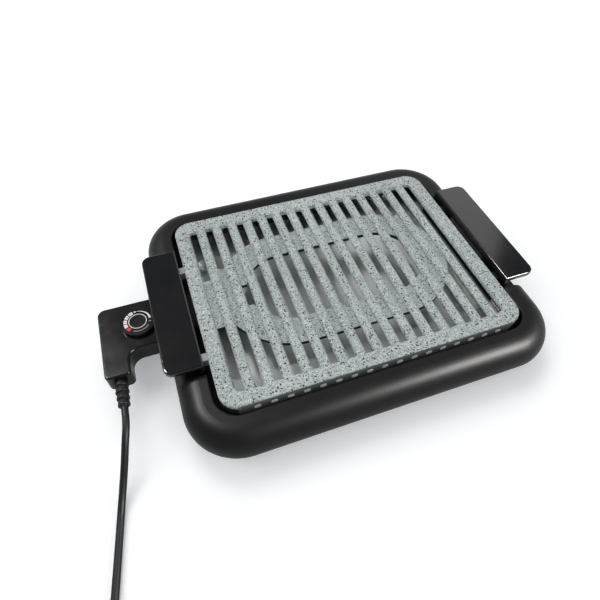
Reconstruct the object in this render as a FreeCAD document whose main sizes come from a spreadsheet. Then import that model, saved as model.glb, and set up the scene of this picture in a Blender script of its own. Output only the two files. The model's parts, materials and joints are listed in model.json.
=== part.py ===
import FreeCAD
import Part
import Sketcher

import math
import os
import re

from FreeCAD import Placement, Rotation, Vector

# Electric table grill: a black ring-shaped base, a loose drip tray, a slotted cast plate with the
# heating loop under it, two flap handles, and a plug-in thermostat control on its lead.
# Frame: the origin is on the table under the middle of the base, X runs along the long side,
# the control is at -X, +Y is the far side and +Z is up. All sizes are in millimetres.

DIMENSIONS = {
    # Plate
    "plate_width": 340,
    "plate_depth": 262,
    "plate_corner": 20,
    "rim_top": 57,
    "plate_seat": 35,
    "skirt_wall": 3,
    "deck_thick": 10,
    "rim_round": 1.2,
    "field_width": 306,
    "field_depth": 228,
    "field_corner": 9,
    "field_drop": 5,
    "field_slope": 4.9,
    "bar_pitch": 19.75,
    "bar_width": 12,
    "bar_length": 242,
    "bar_height": 4.6,
    "bar_round": 4.5,
    "slot_width": 8.2,
    "slot_length": 226,
    "slot_corner": 2,
    "slot_lip": 4.4,
    "slot_spread": 3.4,
    "stud_pitch": 17,
    "stud_width": 7,
    "stud_rise": 0.8,
    "stud_height": 48,
    # Heating loop and the web above it
    "loop_radius": 63.5,
    "loop_half_run": 59,
    "loop_shift": 2,
    "web_width": 32,
    "notch_span": 30,
    "notch_sink": 5,
    "tail_width": 68,
    "rib_width": 16,
    "element_size": 7,
    "groove_gap": 0.25,
    "lead_bend": 14,
    "element_end": 6,
    "clamp_width": 10,
    "clamp_floor": 1.5,
    "clamp_screw_size": 2.4,
    "clamp_screw_step": 5.8,
    "clamp_screw_grip": 6,
    # Sockets at the plate's left side
    "pin_height": 42.5,
    "pin_spread": 25.4,
    "pin_size": 4.8,
    "pin_reach": 23,
    "insulator_size": 9,
    "insulator_head": 12,
    "probe_size": 6.5,
    "probe_gap": 0.3,
    "probe_depth": 47,
    "probe_boss": 14,
    "probe_boss_under": 37,
    "guard_reach": 7.6,
    "guard_width": 46,
    "guard_height": 18,
    "guard_wall": 1.5,
    # Base
    "base_width": 416,
    "base_depth": 338,
    "base_corner": 58,
    "base_bottom": 12,
    "base_crest": 51.5,
    "base_wall": 3,
    "crest_round": 23.4,
    "under_round": 15.9,
    "opening_gap": 5,
    "opening_lip": 1.5,
    "plate_ledge": 10,
    "tray_ledge": 8,
    "tray_seat": 29,
    "notch_gap": 2.5,
    "boss_size": 8,
    "boss_inset": 7.5,
    "boss_span": 110,
    "pilot_depth": 14,
    "screw_size": 3,
    "screw_gap": 0.5,
    "screw_head": 6.5,
    "screw_head_thick": 1.8,
    "cover_thick": 2.5,
    "cover_inset": 1,
    "vent_width": 5,
    "vent_length": 46,
    "vent_pitch": 16,
    "vent_row": 52,
    "foot_size": 20,
    "foot_round": 1.5,
    "foot_reach": 150,
    "foot_spread": 108,
    # Drip tray
    "tray_gap": 0.5,
    "tray_wall": 0.8,
    "tray_floor": 14,
    "tray_taper": 25,
    "tray_corner": 14,
    "tray_shelf": 28,
    # Handles
    "handle_reach": 38.8,
    "handle_length": 163,
    "handle_top": 64.4,
    "handle_thick": 5,
    "handle_corner": 10,
    "handle_edge": 1.8,
    "fascia_thick": 4,
    "fascia_bottom": 37,
    "window_width": 72,
    "window_top": 55.8,
    "lug_gap": 5.5,
    "lug_width": 9,
    "lug_height": 10,
    "lug_span": 62,
    "lug_centre": 43.5,
    "handle_screw_size": 3.5,
    "handle_screw_gap": 0.3,
    "nut_size": 6,
    "nut_thick": 2.5,
    # Control
    "control_bottom": 31,
    "control_top": 54,
    "control_wall": 2.5,
    "seam_gap": 0.3,
    "nose_gap": 8,
    "nose_length": 35,
    "nose_width": 48,
    "control_left": 271,
    "control_front": 32,
    "control_rear": 28,
    "leg_width": 26,
    "leg_reach": 28,
    "control_corner": 8,
    "leg_corner": 5,
    "shoulder_round": 3,
    "elbow_round": 12,
    "control_edge": 2,
    "nose_hole": 6.4,
    "contact_size": 7,
    "contact_bore": 5.4,
    "contact_length": 24,
    "block_length": 10,
    "block_width": 40,
    "seat_gap": 0.05,
    "switch_length": 26,
    "switch_width": 16,
    "switch_height": 8.5,
    "blade_length": 20,
    "blade_width": 5,
    "blade_thick": 0.8,
    "column_size": 6.5,
    "column_inset": 8,
    "column_grip": 7,
    "relief_neck": 6,
    "relief_size": 14,
    "relief_end": 10.5,
    "relief_length": 28,
    # Dial
    "dial_x": 230,
    "dial_y": 3,
    "dial_size": 36,
    "dial_height": 5,
    "dial_gap": 0.4,
    "dial_edge": 0.8,
    "face_size": 31,
    "face_thick": 0.6,
    "face_gap": 0.1,
    "grip_size": 1.6,
    "shaft_size": 6,
    "shaft_gap": 0.06,
    "shaft_sink": 2.6,
    # Lead
    "cord_size": 7,
    "coil_radius": 44.5,
    "coil_pitch": 7.7,
    "coil_layer": 7.6,
    "coil_rest": 4.6,
    "tie_width": 6,
    "tie_thick": 0.7,
    "tie_gap": 1.0,
    "tie_inset": 0.4,
    "plug_size": 36.8,
    "plug_length": 44,
    "plug_bush": 14,
    "plug_pin_size": 4.8,
    "plug_pin_length": 19,
    "plug_pin_spread": 19,
    "plug_axis": 18.5,
}
BAR_COUNT = 15
SLOT_COUNT = BAR_COUNT + 1
STUD_COUNT = 17
VENT_COUNT = 13
GRIP_COUNT = 30
RELIEF_RIBS = 4

doc = FreeCAD.newDocument("electric_grill")
sheet = doc.addObject("Spreadsheet::Sheet", "dims")
for row, (alias, value) in enumerate(DIMENSIONS.items(), start=1):
    sheet.set(f"A{row}", alias)
    sheet.set(f"B{row}", str(value))
    sheet.setAlias(f"B{row}", alias)
doc.recompute()

NAMED = re.compile(r"[a-z]+(?:_[a-z]+)+")
nodes = []


def size(expression):
    """The number that an expression in the sheet's aliases comes to."""
    text = NAMED.sub(lambda found: f"dims.{found.group(0)}", str(expression))
    return float(sheet.evalExpression(text))


def bind(target, name, expression):
    """Drive one property of an object with an expression in the sheet's aliases."""
    target.setExpression(name, NAMED.sub(lambda found: f"dims.{found.group(0)}", str(expression)))


def as_node(thing, label):
    """Keep an object as one of the grill's pieces."""
    thing.Label = label
    nodes.append(thing)
    return thing


def new_body(name):
    body = doc.addObject("PartDesign::Body", name)
    body.AllowCompound = True
    return body


def plane_sketch(body, name, role, offset):
    """An empty sketch on one of the body's own origin planes, moved along that plane's normal."""
    plane = next(item for item in body.Origin.OriginFeatures if item.Role == role)
    sketch = body.newObject("Sketcher::SketchObject", name)
    sketch.AttachmentSupport = (plane, "")
    sketch.MapMode = "FlatFace"
    bind(sketch, "AttachmentOffset.Base.z", offset)
    return sketch


def drive(sketch, constraint, expression):
    """Add a dimension to a sketch and tie it to the sheet."""
    index = sketch.addConstraint(constraint)
    bind(sketch, f"Constraints[{index}]", expression)


def add_rectangle(sketch, width, depth, radius, x=0, y=0):
    """A rectangle with round corners about (x, y). Its four corner centres carry the position."""
    half_w = size(width) / 2
    half_d = size(depth) / 2
    r = size(radius)
    mid = Vector(size(x), size(y), 0)
    low = Vector(-half_w, -half_d, 0) + mid
    high = Vector(half_w, half_d, 0) + mid
    flat = Vector(0, 0, 1)
    corners = [
        (Vector(high.x - r, low.y + r, 0), -math.pi / 2),
        (Vector(high.x - r, high.y - r, 0), 0),
        (Vector(low.x + r, high.y - r, 0), math.pi / 2),
        (Vector(low.x + r, low.y + r, 0), math.pi),
    ]
    first = sketch.GeometryCount
    lines = [
        (Vector(low.x + r, low.y, 0), Vector(high.x - r, low.y, 0)),
        (Vector(high.x, low.y + r, 0), Vector(high.x, high.y - r, 0)),
        (Vector(high.x - r, high.y, 0), Vector(low.x + r, high.y, 0)),
        (Vector(low.x, high.y - r, 0), Vector(low.x, low.y + r, 0)),
    ]
    for start, end in lines:
        sketch.addGeometry(Part.LineSegment(start, end))
    for centre, angle in corners:
        circle = Part.Circle(centre, flat, r)
        sketch.addGeometry(Part.ArcOfCircle(circle, angle, angle + math.pi / 2))
    for k in range(4):
        line, arc, after = first + k, first + 4 + k, first + (k + 1) % 4
        sketch.addConstraint(Sketcher.Constraint("Tangent", line, 2, arc, 1))
        sketch.addConstraint(Sketcher.Constraint("Tangent", arc, 2, after, 1))
    sketch.addConstraint(Sketcher.Constraint("Horizontal", first))
    sketch.addConstraint(Sketcher.Constraint("Horizontal", first + 2))
    sketch.addConstraint(Sketcher.Constraint("Vertical", first + 1))
    sketch.addConstraint(Sketcher.Constraint("Vertical", first + 3))
    for k in range(1, 4):
        sketch.addConstraint(Sketcher.Constraint("Equal", first + 4, first + 4 + k))
    drive(sketch, Sketcher.Constraint("Radius", first + 4, r), radius)
    low_arc, high_arc = first + 7, first + 5
    places = [
        ("DistanceX", low_arc, low.x + r, f"({x}) - ({width}) / 2 + ({radius})"),
        ("DistanceY", low_arc, low.y + r, f"({y}) - ({depth}) / 2 + ({radius})"),
        ("DistanceX", high_arc, high.x - r, f"({x}) + ({width}) / 2 - ({radius})"),
        ("DistanceY", high_arc, high.y - r, f"({y}) + ({depth}) / 2 - ({radius})"),
    ]
    for kind, arc, value, expression in places:
        drive(sketch, Sketcher.Constraint(kind, -1, 1, arc, 3, value), expression)


def add_circle(sketch, diameter, x, y):
    """A circle about (x, y)."""
    centre = Vector(size(x), size(y), 0)
    index = sketch.addGeometry(Part.Circle(centre, Vector(0, 0, 1), size(diameter) / 2))
    drive(sketch, Sketcher.Constraint("Diameter", index, size(diameter)), diameter)
    drive(sketch, Sketcher.Constraint("DistanceX", -1, 1, index, 3, centre.x), x)
    drive(sketch, Sketcher.Constraint("DistanceY", -1, 1, index, 3, centre.y), y)


def add_polygon(sketch, points):
    """A closed outline of straight lines, with each corner tied to the sheet."""
    places = [Vector(size(x), size(y), 0) for x, y in points]
    first = sketch.GeometryCount
    for k, start in enumerate(places):
        sketch.addGeometry(Part.LineSegment(start, places[(k + 1) % len(places)]))
    for k in range(len(places)):
        after = first + (k + 1) % len(places)
        sketch.addConstraint(Sketcher.Constraint("Coincident", first + k, 2, after, 1))
    for k, (x, y) in enumerate(points):
        drive(sketch, Sketcher.Constraint("DistanceX", -1, 1, first + k, 1, places[k].x), x)
        drive(sketch, Sketcher.Constraint("DistanceY", -1, 1, first + k, 1, places[k].y), y)


def add_box(sketch, x_low, x_high, y_low, y_high):
    """A plain rectangle between four driven edges."""
    add_polygon(sketch, [(x_low, y_low), (x_high, y_low), (x_high, y_high), (x_low, y_high)])


def grow(body, sketch, length, reverse=False):
    """Pad a sketch along its plane's normal and check that material was added."""
    before = body.Shape.Volume if body.Tip else 0
    pad = body.newObject("PartDesign::Pad", sketch.Name + "_pad")
    pad.Profile = sketch
    pad.Reversed = reverse
    bind(pad, "Length", length)
    sketch.Visibility = False
    doc.recompute()
    if body.Shape.Volume <= before:
        raise RuntimeError(f"{pad.Name} added nothing")
    return pad


def dig(body, sketch, length, upward=False):
    """Pocket a sketch against its plane's normal, or along it, and check that material went."""
    before = body.Shape.Volume
    pocket = body.newObject("PartDesign::Pocket", sketch.Name + "_cut")
    pocket.Profile = sketch
    pocket.Reversed = upward
    bind(pocket, "Length", length)
    sketch.Visibility = False
    doc.recompute()
    if body.Shape.Volume >= before:
        raise RuntimeError(f"{pocket.Name} removed nothing")
    return pocket


def repeat(body, feature, role, length, count):
    """Repeat a feature along one of the body's own axes."""
    pattern = body.newObject("PartDesign::LinearPattern", feature.Name + "_row")
    pattern.Originals = [feature]
    axis = next(item for item in body.Origin.OriginFeatures if item.Role == role)
    pattern.Direction = (axis, [""])
    bind(pattern, "Length", length)
    pattern.Occurrences = count
    body.Tip = pattern
    doc.recompute()
    return pattern


def round_edges(body, radius, test, name):
    """Fillet the edges whose bounding box passes the test."""
    base = body.Tip
    chosen = [f"Edge{k}" for k, edge in enumerate(base.Shape.Edges, start=1) if test(edge.BoundBox)]
    if not chosen:
        raise RuntimeError(f"{name} found no edges")
    fillet = body.newObject("PartDesign::Fillet", name)
    fillet.Base = (base, chosen)
    bind(fillet, "Radius", radius)
    doc.recompute()
    if "Invalid" in fillet.State:
        raise RuntimeError(f"{name} failed")
    return fillet


def level(height, near=0.01):
    """A test for edges that lie in one horizontal plane."""
    z = size(height)
    return lambda box: abs(box.ZMin - z) < near and abs(box.ZMax - z) < near


def upright(x, y, near=0.05):
    """A test for vertical edges that stand at one place."""
    place = Vector(size(x), size(y), 0)

    def test(box):
        away = abs(box.Center.x - place.x) + abs(box.Center.y - place.y)
        return box.ZLength > 1 and box.XLength < near and box.YLength < near and away < near

    return test


def rounded_slab(name, width, depth, radius, bottom, height):
    """A body that starts as a slab with round corners."""
    body = new_body(name)
    sketch = plane_sketch(body, name + "_outline", "XY_Plane", bottom)
    add_rectangle(sketch, width, depth, radius)
    grow(body, sketch, height)
    return body


def cut_rectangle(body, name, width, depth, radius, bottom, height):
    """Remove a block with round corners between two heights."""
    sketch = plane_sketch(body, name, "XY_Plane", bottom)
    add_rectangle(sketch, width, depth, radius)
    return dig(body, sketch, height, upward=True)


def drill(body, name, diameter, places, bottom, height):
    """Remove upright round holes between two heights."""
    sketch = plane_sketch(body, name, "XY_Plane", bottom)
    for x, y in places:
        add_circle(sketch, diameter, x, y)
    return dig(body, sketch, height, upward=True)


def add_discs(body, name, diameter, places, bottom, height):
    """Add upright round posts between two heights."""
    sketch = plane_sketch(body, name, "XY_Plane", bottom)
    for x, y in places:
        add_circle(sketch, diameter, x, y)
    return grow(body, sketch, height)


def solid_box(name, x, y, z, length, width, height):
    """A plain box from its low corner."""
    box = doc.addObject("Part::Box", name)
    for prop, expression in (("Length", length), ("Width", width), ("Height", height)):
        bind(box, prop, expression)
    for axis, expression in (("x", x), ("y", y), ("z", z)):
        bind(box, f"Placement.Base.{axis}", expression)
    return box


def rod(name, diameter, length, x, y, z, along):
    """A plain cylinder that starts at (x, y, z) and runs along a direction."""
    cylinder = doc.addObject("Part::Cylinder", name)
    cylinder.Placement = Placement(Vector(), Rotation(Vector(0, 0, 1), Vector(*along)))
    bind(cylinder, "Radius", f"({diameter}) / 2")
    bind(cylinder, "Height", length)
    for axis, expression in (("x", x), ("y", y), ("z", z)):
        bind(cylinder, f"Placement.Base.{axis}", expression)
    return cylinder


def subtract(name, base, tool):
    cut = doc.addObject("Part::Cut", name)
    cut.Base = base
    cut.Tool = tool
    return cut


def join(name, shapes):
    fuse = doc.addObject("Part::MultiFuse", name)
    fuse.Shapes = shapes
    return fuse


def gather(name, shapes):
    group = doc.addObject("Part::Compound", name)
    group.Links = shapes
    return group


def fixed_shape(name, shape):
    """A piece whose shape is worked out here from the sheet's values."""
    feature = doc.addObject("Part::Feature", name)
    feature.Shape = shape
    return feature


def tube_along(edges, diameter):
    """A round solid swept along a smooth path of lines and arcs."""
    path = Part.Wire(edges)
    start = path.OrderedEdges[0]
    origin = start.valueAt(start.FirstParameter)
    heading = start.tangentAt(start.FirstParameter)
    profile = Part.Wire(Part.Edge(Part.Circle(origin, heading, diameter / 2)))
    return path.makePipeShell([profile], True, False)


def rounded_route(points, name):
    """Straight runs joined by tangent arcs, each as wide as the shorter run beside it allows."""
    edges = []
    radii = []
    here = points[0]
    for before, corner, after in zip(points, points[1:], points[2:]):
        back = (before - corner).normalize()
        on = (after - corner).normalize()
        turn = math.pi - back.getAngle(on)
        reach = 0.45 * min(before.distanceToPoint(corner), corner.distanceToPoint(after))
        radius = reach / math.tan(turn / 2)
        start = corner + back * reach
        end = corner + on * reach
        inward = (back + on).normalize()
        middle = corner + inward * (radius / math.cos(turn / 2) - radius)
        edges.append(Part.LineSegment(here, start).toShape())
        edges.append(Part.Arc(start, middle, end).toShape())
        radii.append(round(radius, 1))
        here = end
    edges.append(Part.LineSegment(here, points[-1]).toShape())
    length = sum(edge.Length for edge in edges)
    print(f"{name}: length {length:.1f}, bend radii {radii}")
    return edges


# Grill plate: a cast deck with a skirt, a sunken field and bars that rise from it

DECK_UNDER = "rim_top - deck_thick"
FIELD_FLOOR = "rim_top - field_drop"
BAR_TOP = "rim_top - field_drop + bar_height"
PLATE_SIDE = "plate_width / 2"

plate = rounded_slab(
    "plate_block", "plate_width", "plate_depth", "plate_corner", "plate_seat", "rim_top - plate_seat"
)
round_edges(plate, "rim_round", level("rim_top"), "plate_rim_round")
cut_rectangle(
    plate,
    "plate_underside",
    "plate_width - 2 * skirt_wall",
    "plate_depth - 2 * skirt_wall",
    "plate_corner - skirt_wall",
    "plate_seat",
    f"{DECK_UNDER} - plate_seat",
)
cut_rectangle(plate, "plate_field", "field_width", "field_depth", "field_corner", FIELD_FLOOR, "field_drop")


def field_edge(box):
    inside = abs(box.XMin) < size("field_width / 2 + 1") and abs(box.XMax) < size("field_width / 2 + 1")
    return level("rim_top")(box) and inside


round_edges(plate, "field_slope", field_edge, "plate_field_slope")

# The bars are rounded by themselves and then joined to the deck, so their ends run into the border
bars = new_body("bar_row")
bar = plane_sketch(bars, "bar_outline", "XY_Plane", f"{FIELD_FLOOR} - 1")
add_rectangle(
    bar, "bar_width", "bar_length", "bar_width / 2 - 0.1", f"-bar_pitch * {(BAR_COUNT - 1) / 2}", "0"
)
bar_pad = grow(bars, bar, "bar_height + 1")
repeat(bars, bar_pad, "X_Axis", f"bar_pitch * {BAR_COUNT - 1}", BAR_COUNT)
round_edges(bars, "bar_round", level(BAR_TOP), "bar_tops")


def add_stadium(sketch, radius):
    """A long round-ended outline about the loop's two end centres."""
    r = f"({radius})"
    add_rectangle(sketch, f"2 * loop_half_run + 2 * {r}", f"2 * {r}", f"{r} - 0.05", "-loop_shift", "0")


rib = plane_sketch(plate, "plate_rib", "XY_Plane", "pin_height")
add_stadium(rib, "loop_radius + rib_width / 2")
add_stadium(rib, "loop_radius - rib_width / 2")
grow(plate, rib, f"{DECK_UNDER} - pin_height")
tail = plane_sketch(plate, "plate_tail", "XY_Plane", "pin_height")
add_box(
    tail,
    "-plate_width / 2 + skirt_wall - 0.5",
    "-loop_shift - loop_half_run - loop_radius + 4",
    "-pin_spread / 2 - rib_width / 2",
    "pin_spread / 2 + rib_width / 2",
)
grow(plate, tail, f"{DECK_UNDER} - pin_height")
boss = plane_sketch(plate, "plate_probe_boss", "XY_Plane", "probe_boss_under")
add_box(
    boss,
    "-plate_width / 2 + skirt_wall - 0.5",
    "-plate_width / 2 + probe_depth + 8",
    "-probe_boss / 2",
    "probe_boss / 2",
)
grow(plate, boss, f"{DECK_UNDER} - probe_boss_under")

# Round studs along the front of the skirt
stud = plane_sketch(plate, "plate_stud", "XZ_Plane", "plate_depth / 2 - 1")
add_rectangle(
    stud,
    "stud_width",
    "stud_width * 0.7",
    "stud_width * 0.34",
    f"-stud_pitch * {(STUD_COUNT - 1) / 2}",
    "stud_height",
)
stud_pad = grow(plate, stud, "stud_rise + 1")
repeat(plate, stud_pad, "X_Axis", f"stud_pitch * {STUD_COUNT - 1}", STUD_COUNT)

# Holes in the skirt for the two pins and the probe, looking along X
probe_hole = plane_sketch(plate, "plate_probe_hole", "YZ_Plane", "-plate_width / 2")
add_circle(probe_hole, "probe_size + 2 * probe_gap", "0", "pin_height")
dig(plate, probe_hole, "probe_depth", upward=True)
pin_holes = plane_sketch(plate, "plate_pin_holes", "YZ_Plane", "-plate_width / 2")
for side in (-1, 1):
    add_circle(pin_holes, "insulator_size", f"{side} * pin_spread / 2", "pin_height")
dig(plate, pin_holes, "element_end", upward=True)
lug_holes = plane_sketch(plate, "plate_lug_holes", "YZ_Plane", "-plate_width / 2 - 1")
for side in (-1, 1):
    add_circle(lug_holes, "handle_screw_size + handle_screw_gap", f"{side} * lug_span", "lug_centre")
dig(plate, lug_holes, "plate_width + 2", upward=True)

# Slots between the bars, stopped where the web covers the heating loop
FIRST_SLOT = f"-bar_pitch * {(SLOT_COUNT - 1) / 2}"
slot_body = new_body("slot_tool")
slot = plane_sketch(slot_body, "slot_outline", "XY_Plane", f"{DECK_UNDER} - 6")
add_rectangle(slot, "slot_width", "slot_length", "slot_corner", FIRST_SLOT, "0")
slot_pad = grow(slot_body, slot, "deck_thick + 8")
repeat(slot_body, slot_pad, "X_Axis", f"bar_pitch * {SLOT_COUNT - 1}", SLOT_COUNT)
# Below the widest part of the bars each slot widens downwards, so that fat drips clear of them
FLARE_RISE = "(deck_thick - slot_lip + 0.5)"
flare = plane_sketch(slot_body, "slot_flare", "XY_Plane", f"{DECK_UNDER} - 0.5")
add_rectangle(
    flare,
    "slot_width + 2 * slot_spread",
    "slot_length + 2 * slot_spread - 1",
    "slot_corner + slot_spread",
    FIRST_SLOT,
    "0",
)
flare_pad = grow(slot_body, flare, f"{FLARE_RISE} + 0.4")
bind(flare_pad, "TaperAngle", f"-atan(slot_spread / {FLARE_RISE})")
doc.recompute()
repeat(slot_body, flare_pad, "X_Axis", f"bar_pitch * {SLOT_COUNT - 1}", SLOT_COUNT)

web = new_body("web_zone")
web_band = plane_sketch(web, "web_band", "XY_Plane", f"{DECK_UNDER} - 8")
add_stadium(web_band, "loop_radius + web_width / 2")
add_stadium(web_band, "loop_radius - web_width / 2")
grow(web, web_band, "deck_thick + 12")
web_tail = plane_sketch(web, "web_tail", "XY_Plane", f"{DECK_UNDER} - 8")
add_box(
    web_tail,
    "-plate_width / 2",
    "-loop_shift - loop_half_run - loop_radius",
    "-tail_width / 2",
    "tail_width / 2",
)
grow(web, web_tail, "deck_thick + 12")
# A notch between the two leads leaves one slot open
WEB_INSIDE = "-loop_shift - loop_half_run - loop_radius + web_width / 2"
web_notch = plane_sketch(web, "web_notch", "XY_Plane", f"{DECK_UNDER} - 8")
add_box(
    web_notch,
    f"{WEB_INSIDE} - notch_sink",
    f"{WEB_INSIDE} + notch_sink",
    "-notch_span / 2",
    "notch_span / 2",
)
dig(web, web_notch, "deck_thick + 12", upward=True)
open_slots = subtract("open_slots", slot_body, web)

# Heating loop: in along one side of the tail, once round, and out along the other side


def loop_edges():
    """The loop's path from one end of the tube to the other, at the height of the pins."""
    z = size("pin_height")
    big = size("loop_radius")
    run = size("loop_half_run")
    shift = size("loop_shift")
    bend = size("lead_bend")
    side = size("pin_spread / 2")
    start_x = size("-plate_width / 2 + element_end")
    across = big + bend
    bend_x = -run - shift - math.sqrt(across**2 - (side + bend) ** 2)
    bend_centre = Vector(bend_x, side + bend, z)
    left = Vector(-run - shift, 0, z)
    right = Vector(run - shift, 0, z)
    lead_end = Vector(bend_x, side, z)
    joint = left + (bend_centre - left) * (big / across)
    half_way = (lead_end - bend_centre) + (joint - bend_centre)
    bend_mid = bend_centre + half_way.normalize() * bend
    angle = math.atan2(joint.y, joint.x - left.x)
    mid_angle = (angle + math.pi / 2) / 2
    arc_mid = left + Vector(math.cos(mid_angle), math.sin(mid_angle), 0) * big
    top_left = left + Vector(0, big, 0)
    top_right = right + Vector(0, big, 0)

    def flip(point):
        return Vector(point.x, -point.y, point.z)

    lead_in = Vector(start_x, side, z)
    return [
        Part.LineSegment(lead_in, lead_end).toShape(),
        Part.Arc(lead_end, bend_mid, joint).toShape(),
        Part.Arc(joint, arc_mid, top_left).toShape(),
        Part.LineSegment(top_left, top_right).toShape(),
        Part.Arc(top_right, right + Vector(big, 0, 0), flip(top_right)).toShape(),
        Part.LineSegment(flip(top_right), flip(top_left)).toShape(),
        Part.Arc(flip(top_left), flip(arc_mid), flip(joint)).toShape(),
        Part.Arc(flip(joint), flip(bend_mid), flip(lead_end)).toShape(),
        Part.LineSegment(flip(lead_end), flip(lead_in)).toShape(),
    ]


loop = loop_edges()
element = as_node(
    fixed_shape("heating_loop", tube_along(loop, size("element_size"))), "heating_element"
)
groove = fixed_shape("loop_groove", tube_along(loop, size("element_size + 2 * groove_gap")))

# Clamps under the rib that hold the loop in its groove, each on two screws

CLAMP_UNDER = "pin_height - element_size / 2 - groove_gap - clamp_floor"
CLAMP_PLACES = [(x, side) for x in (-40, 40) for side in (-1, 1)]
CLAMP_SCREWS = [
    (str(x), f"{side} * loop_radius + {way} * clamp_screw_step")
    for x, side in CLAMP_PLACES
    for way in (-1, 1)
]
CLAMP_HOLE = "clamp_screw_size + 2 * seat_gap"
drill(plate, "plate_pilots", CLAMP_HOLE, CLAMP_SCREWS, "pin_height", "clamp_screw_grip")

clamp = new_body("clamp_block")
clamp_outline = plane_sketch(clamp, "clamp_outline", "XY_Plane", CLAMP_UNDER)
for x, side in CLAMP_PLACES:
    add_rectangle(clamp_outline, "clamp_width", "rib_width", "1", str(x), f"{side} * loop_radius")
grow(clamp, clamp_outline, f"pin_height - ({CLAMP_UNDER})")
drill(clamp, "clamp_holes", CLAMP_HOLE, CLAMP_SCREWS, CLAMP_UNDER, "20")
as_node(subtract("clamp_cut", clamp, groove), "element_clamps")

clamp_screw = new_body("clamp_screw")
add_discs(
    clamp_screw,
    "clamp_heads",
    "clamp_screw_size * 1.8",
    CLAMP_SCREWS,
    f"{CLAMP_UNDER} - clamp_screw_size * 0.6",
    "clamp_screw_size * 0.6",
)
add_discs(
    clamp_screw,
    "clamp_shanks",
    "clamp_screw_size",
    CLAMP_SCREWS,
    CLAMP_UNDER,
    f"pin_height - ({CLAMP_UNDER}) + clamp_screw_grip - 0.5",
)
as_node(clamp_screw, "clamp_screws")

plate_slotted = subtract("plate_slotted", join("plate_barred", [plate, bars]), open_slots)
as_node(subtract("plate_grooved", plate_slotted, groove), "grill_plate")

# Pins that feed the loop, each in a ceramic bush through the skirt

for name, side in (("front", -1), ("rear", 1)):
    y = f"{side} * pin_spread / 2"
    inner = f"-{PLATE_SIDE} + element_end"
    pin = rod(f"pin_{name}", "pin_size", "element_end + pin_reach", inner, y, "pin_height", (-1, 0, 0))
    as_node(pin, f"terminal_pin_{name}")
    sleeve = rod(
        f"bush_{name}",
        "insulator_size - 2 * seat_gap",
        "element_end + 2",
        inner,
        y,
        "pin_height",
        (-1, 0, 0),
    )
    head = rod(f"bush_head_{name}", "insulator_head", "2", f"-{PLATE_SIDE}", y, "pin_height", (-1, 0, 0))
    bore = rod(
        f"bush_bore_{name}",
        "pin_size + 2 * seat_gap",
        "element_end + 4",
        f"{inner} + 1",
        y,
        "pin_height",
        (-1, 0, 0),
    )
    bush = subtract(f"bush_cut_{name}", join(f"bush_join_{name}", [sleeve, head]), bore)
    as_node(bush, f"insulator_{name}")

# Guard round the pins: a short square tube on the skirt, which meets the nose of the control

GUARD_X = f"-{PLATE_SIDE} - guard_reach"
guard_block = solid_box(
    "guard_block",
    GUARD_X,
    "-guard_width / 2",
    "pin_height - guard_height / 2",
    "guard_reach",
    "guard_width",
    "guard_height",
)
guard_space = solid_box(
    "guard_space",
    f"{GUARD_X} - 1",
    "-guard_width / 2 + guard_wall",
    "pin_height - guard_height / 2 + guard_wall",
    "guard_reach + 2",
    "guard_width - 2 * guard_wall",
    "guard_height - 2 * guard_wall",
)
as_node(subtract("guard_cut", guard_block, guard_space), "terminal_guard")

# Handles: a flap with a fascia that hangs from its inner edge, open in the middle for the control

FLAP_UNDER = "handle_top - handle_thick"
HANDLE_END = "handle_length / 2"


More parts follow.
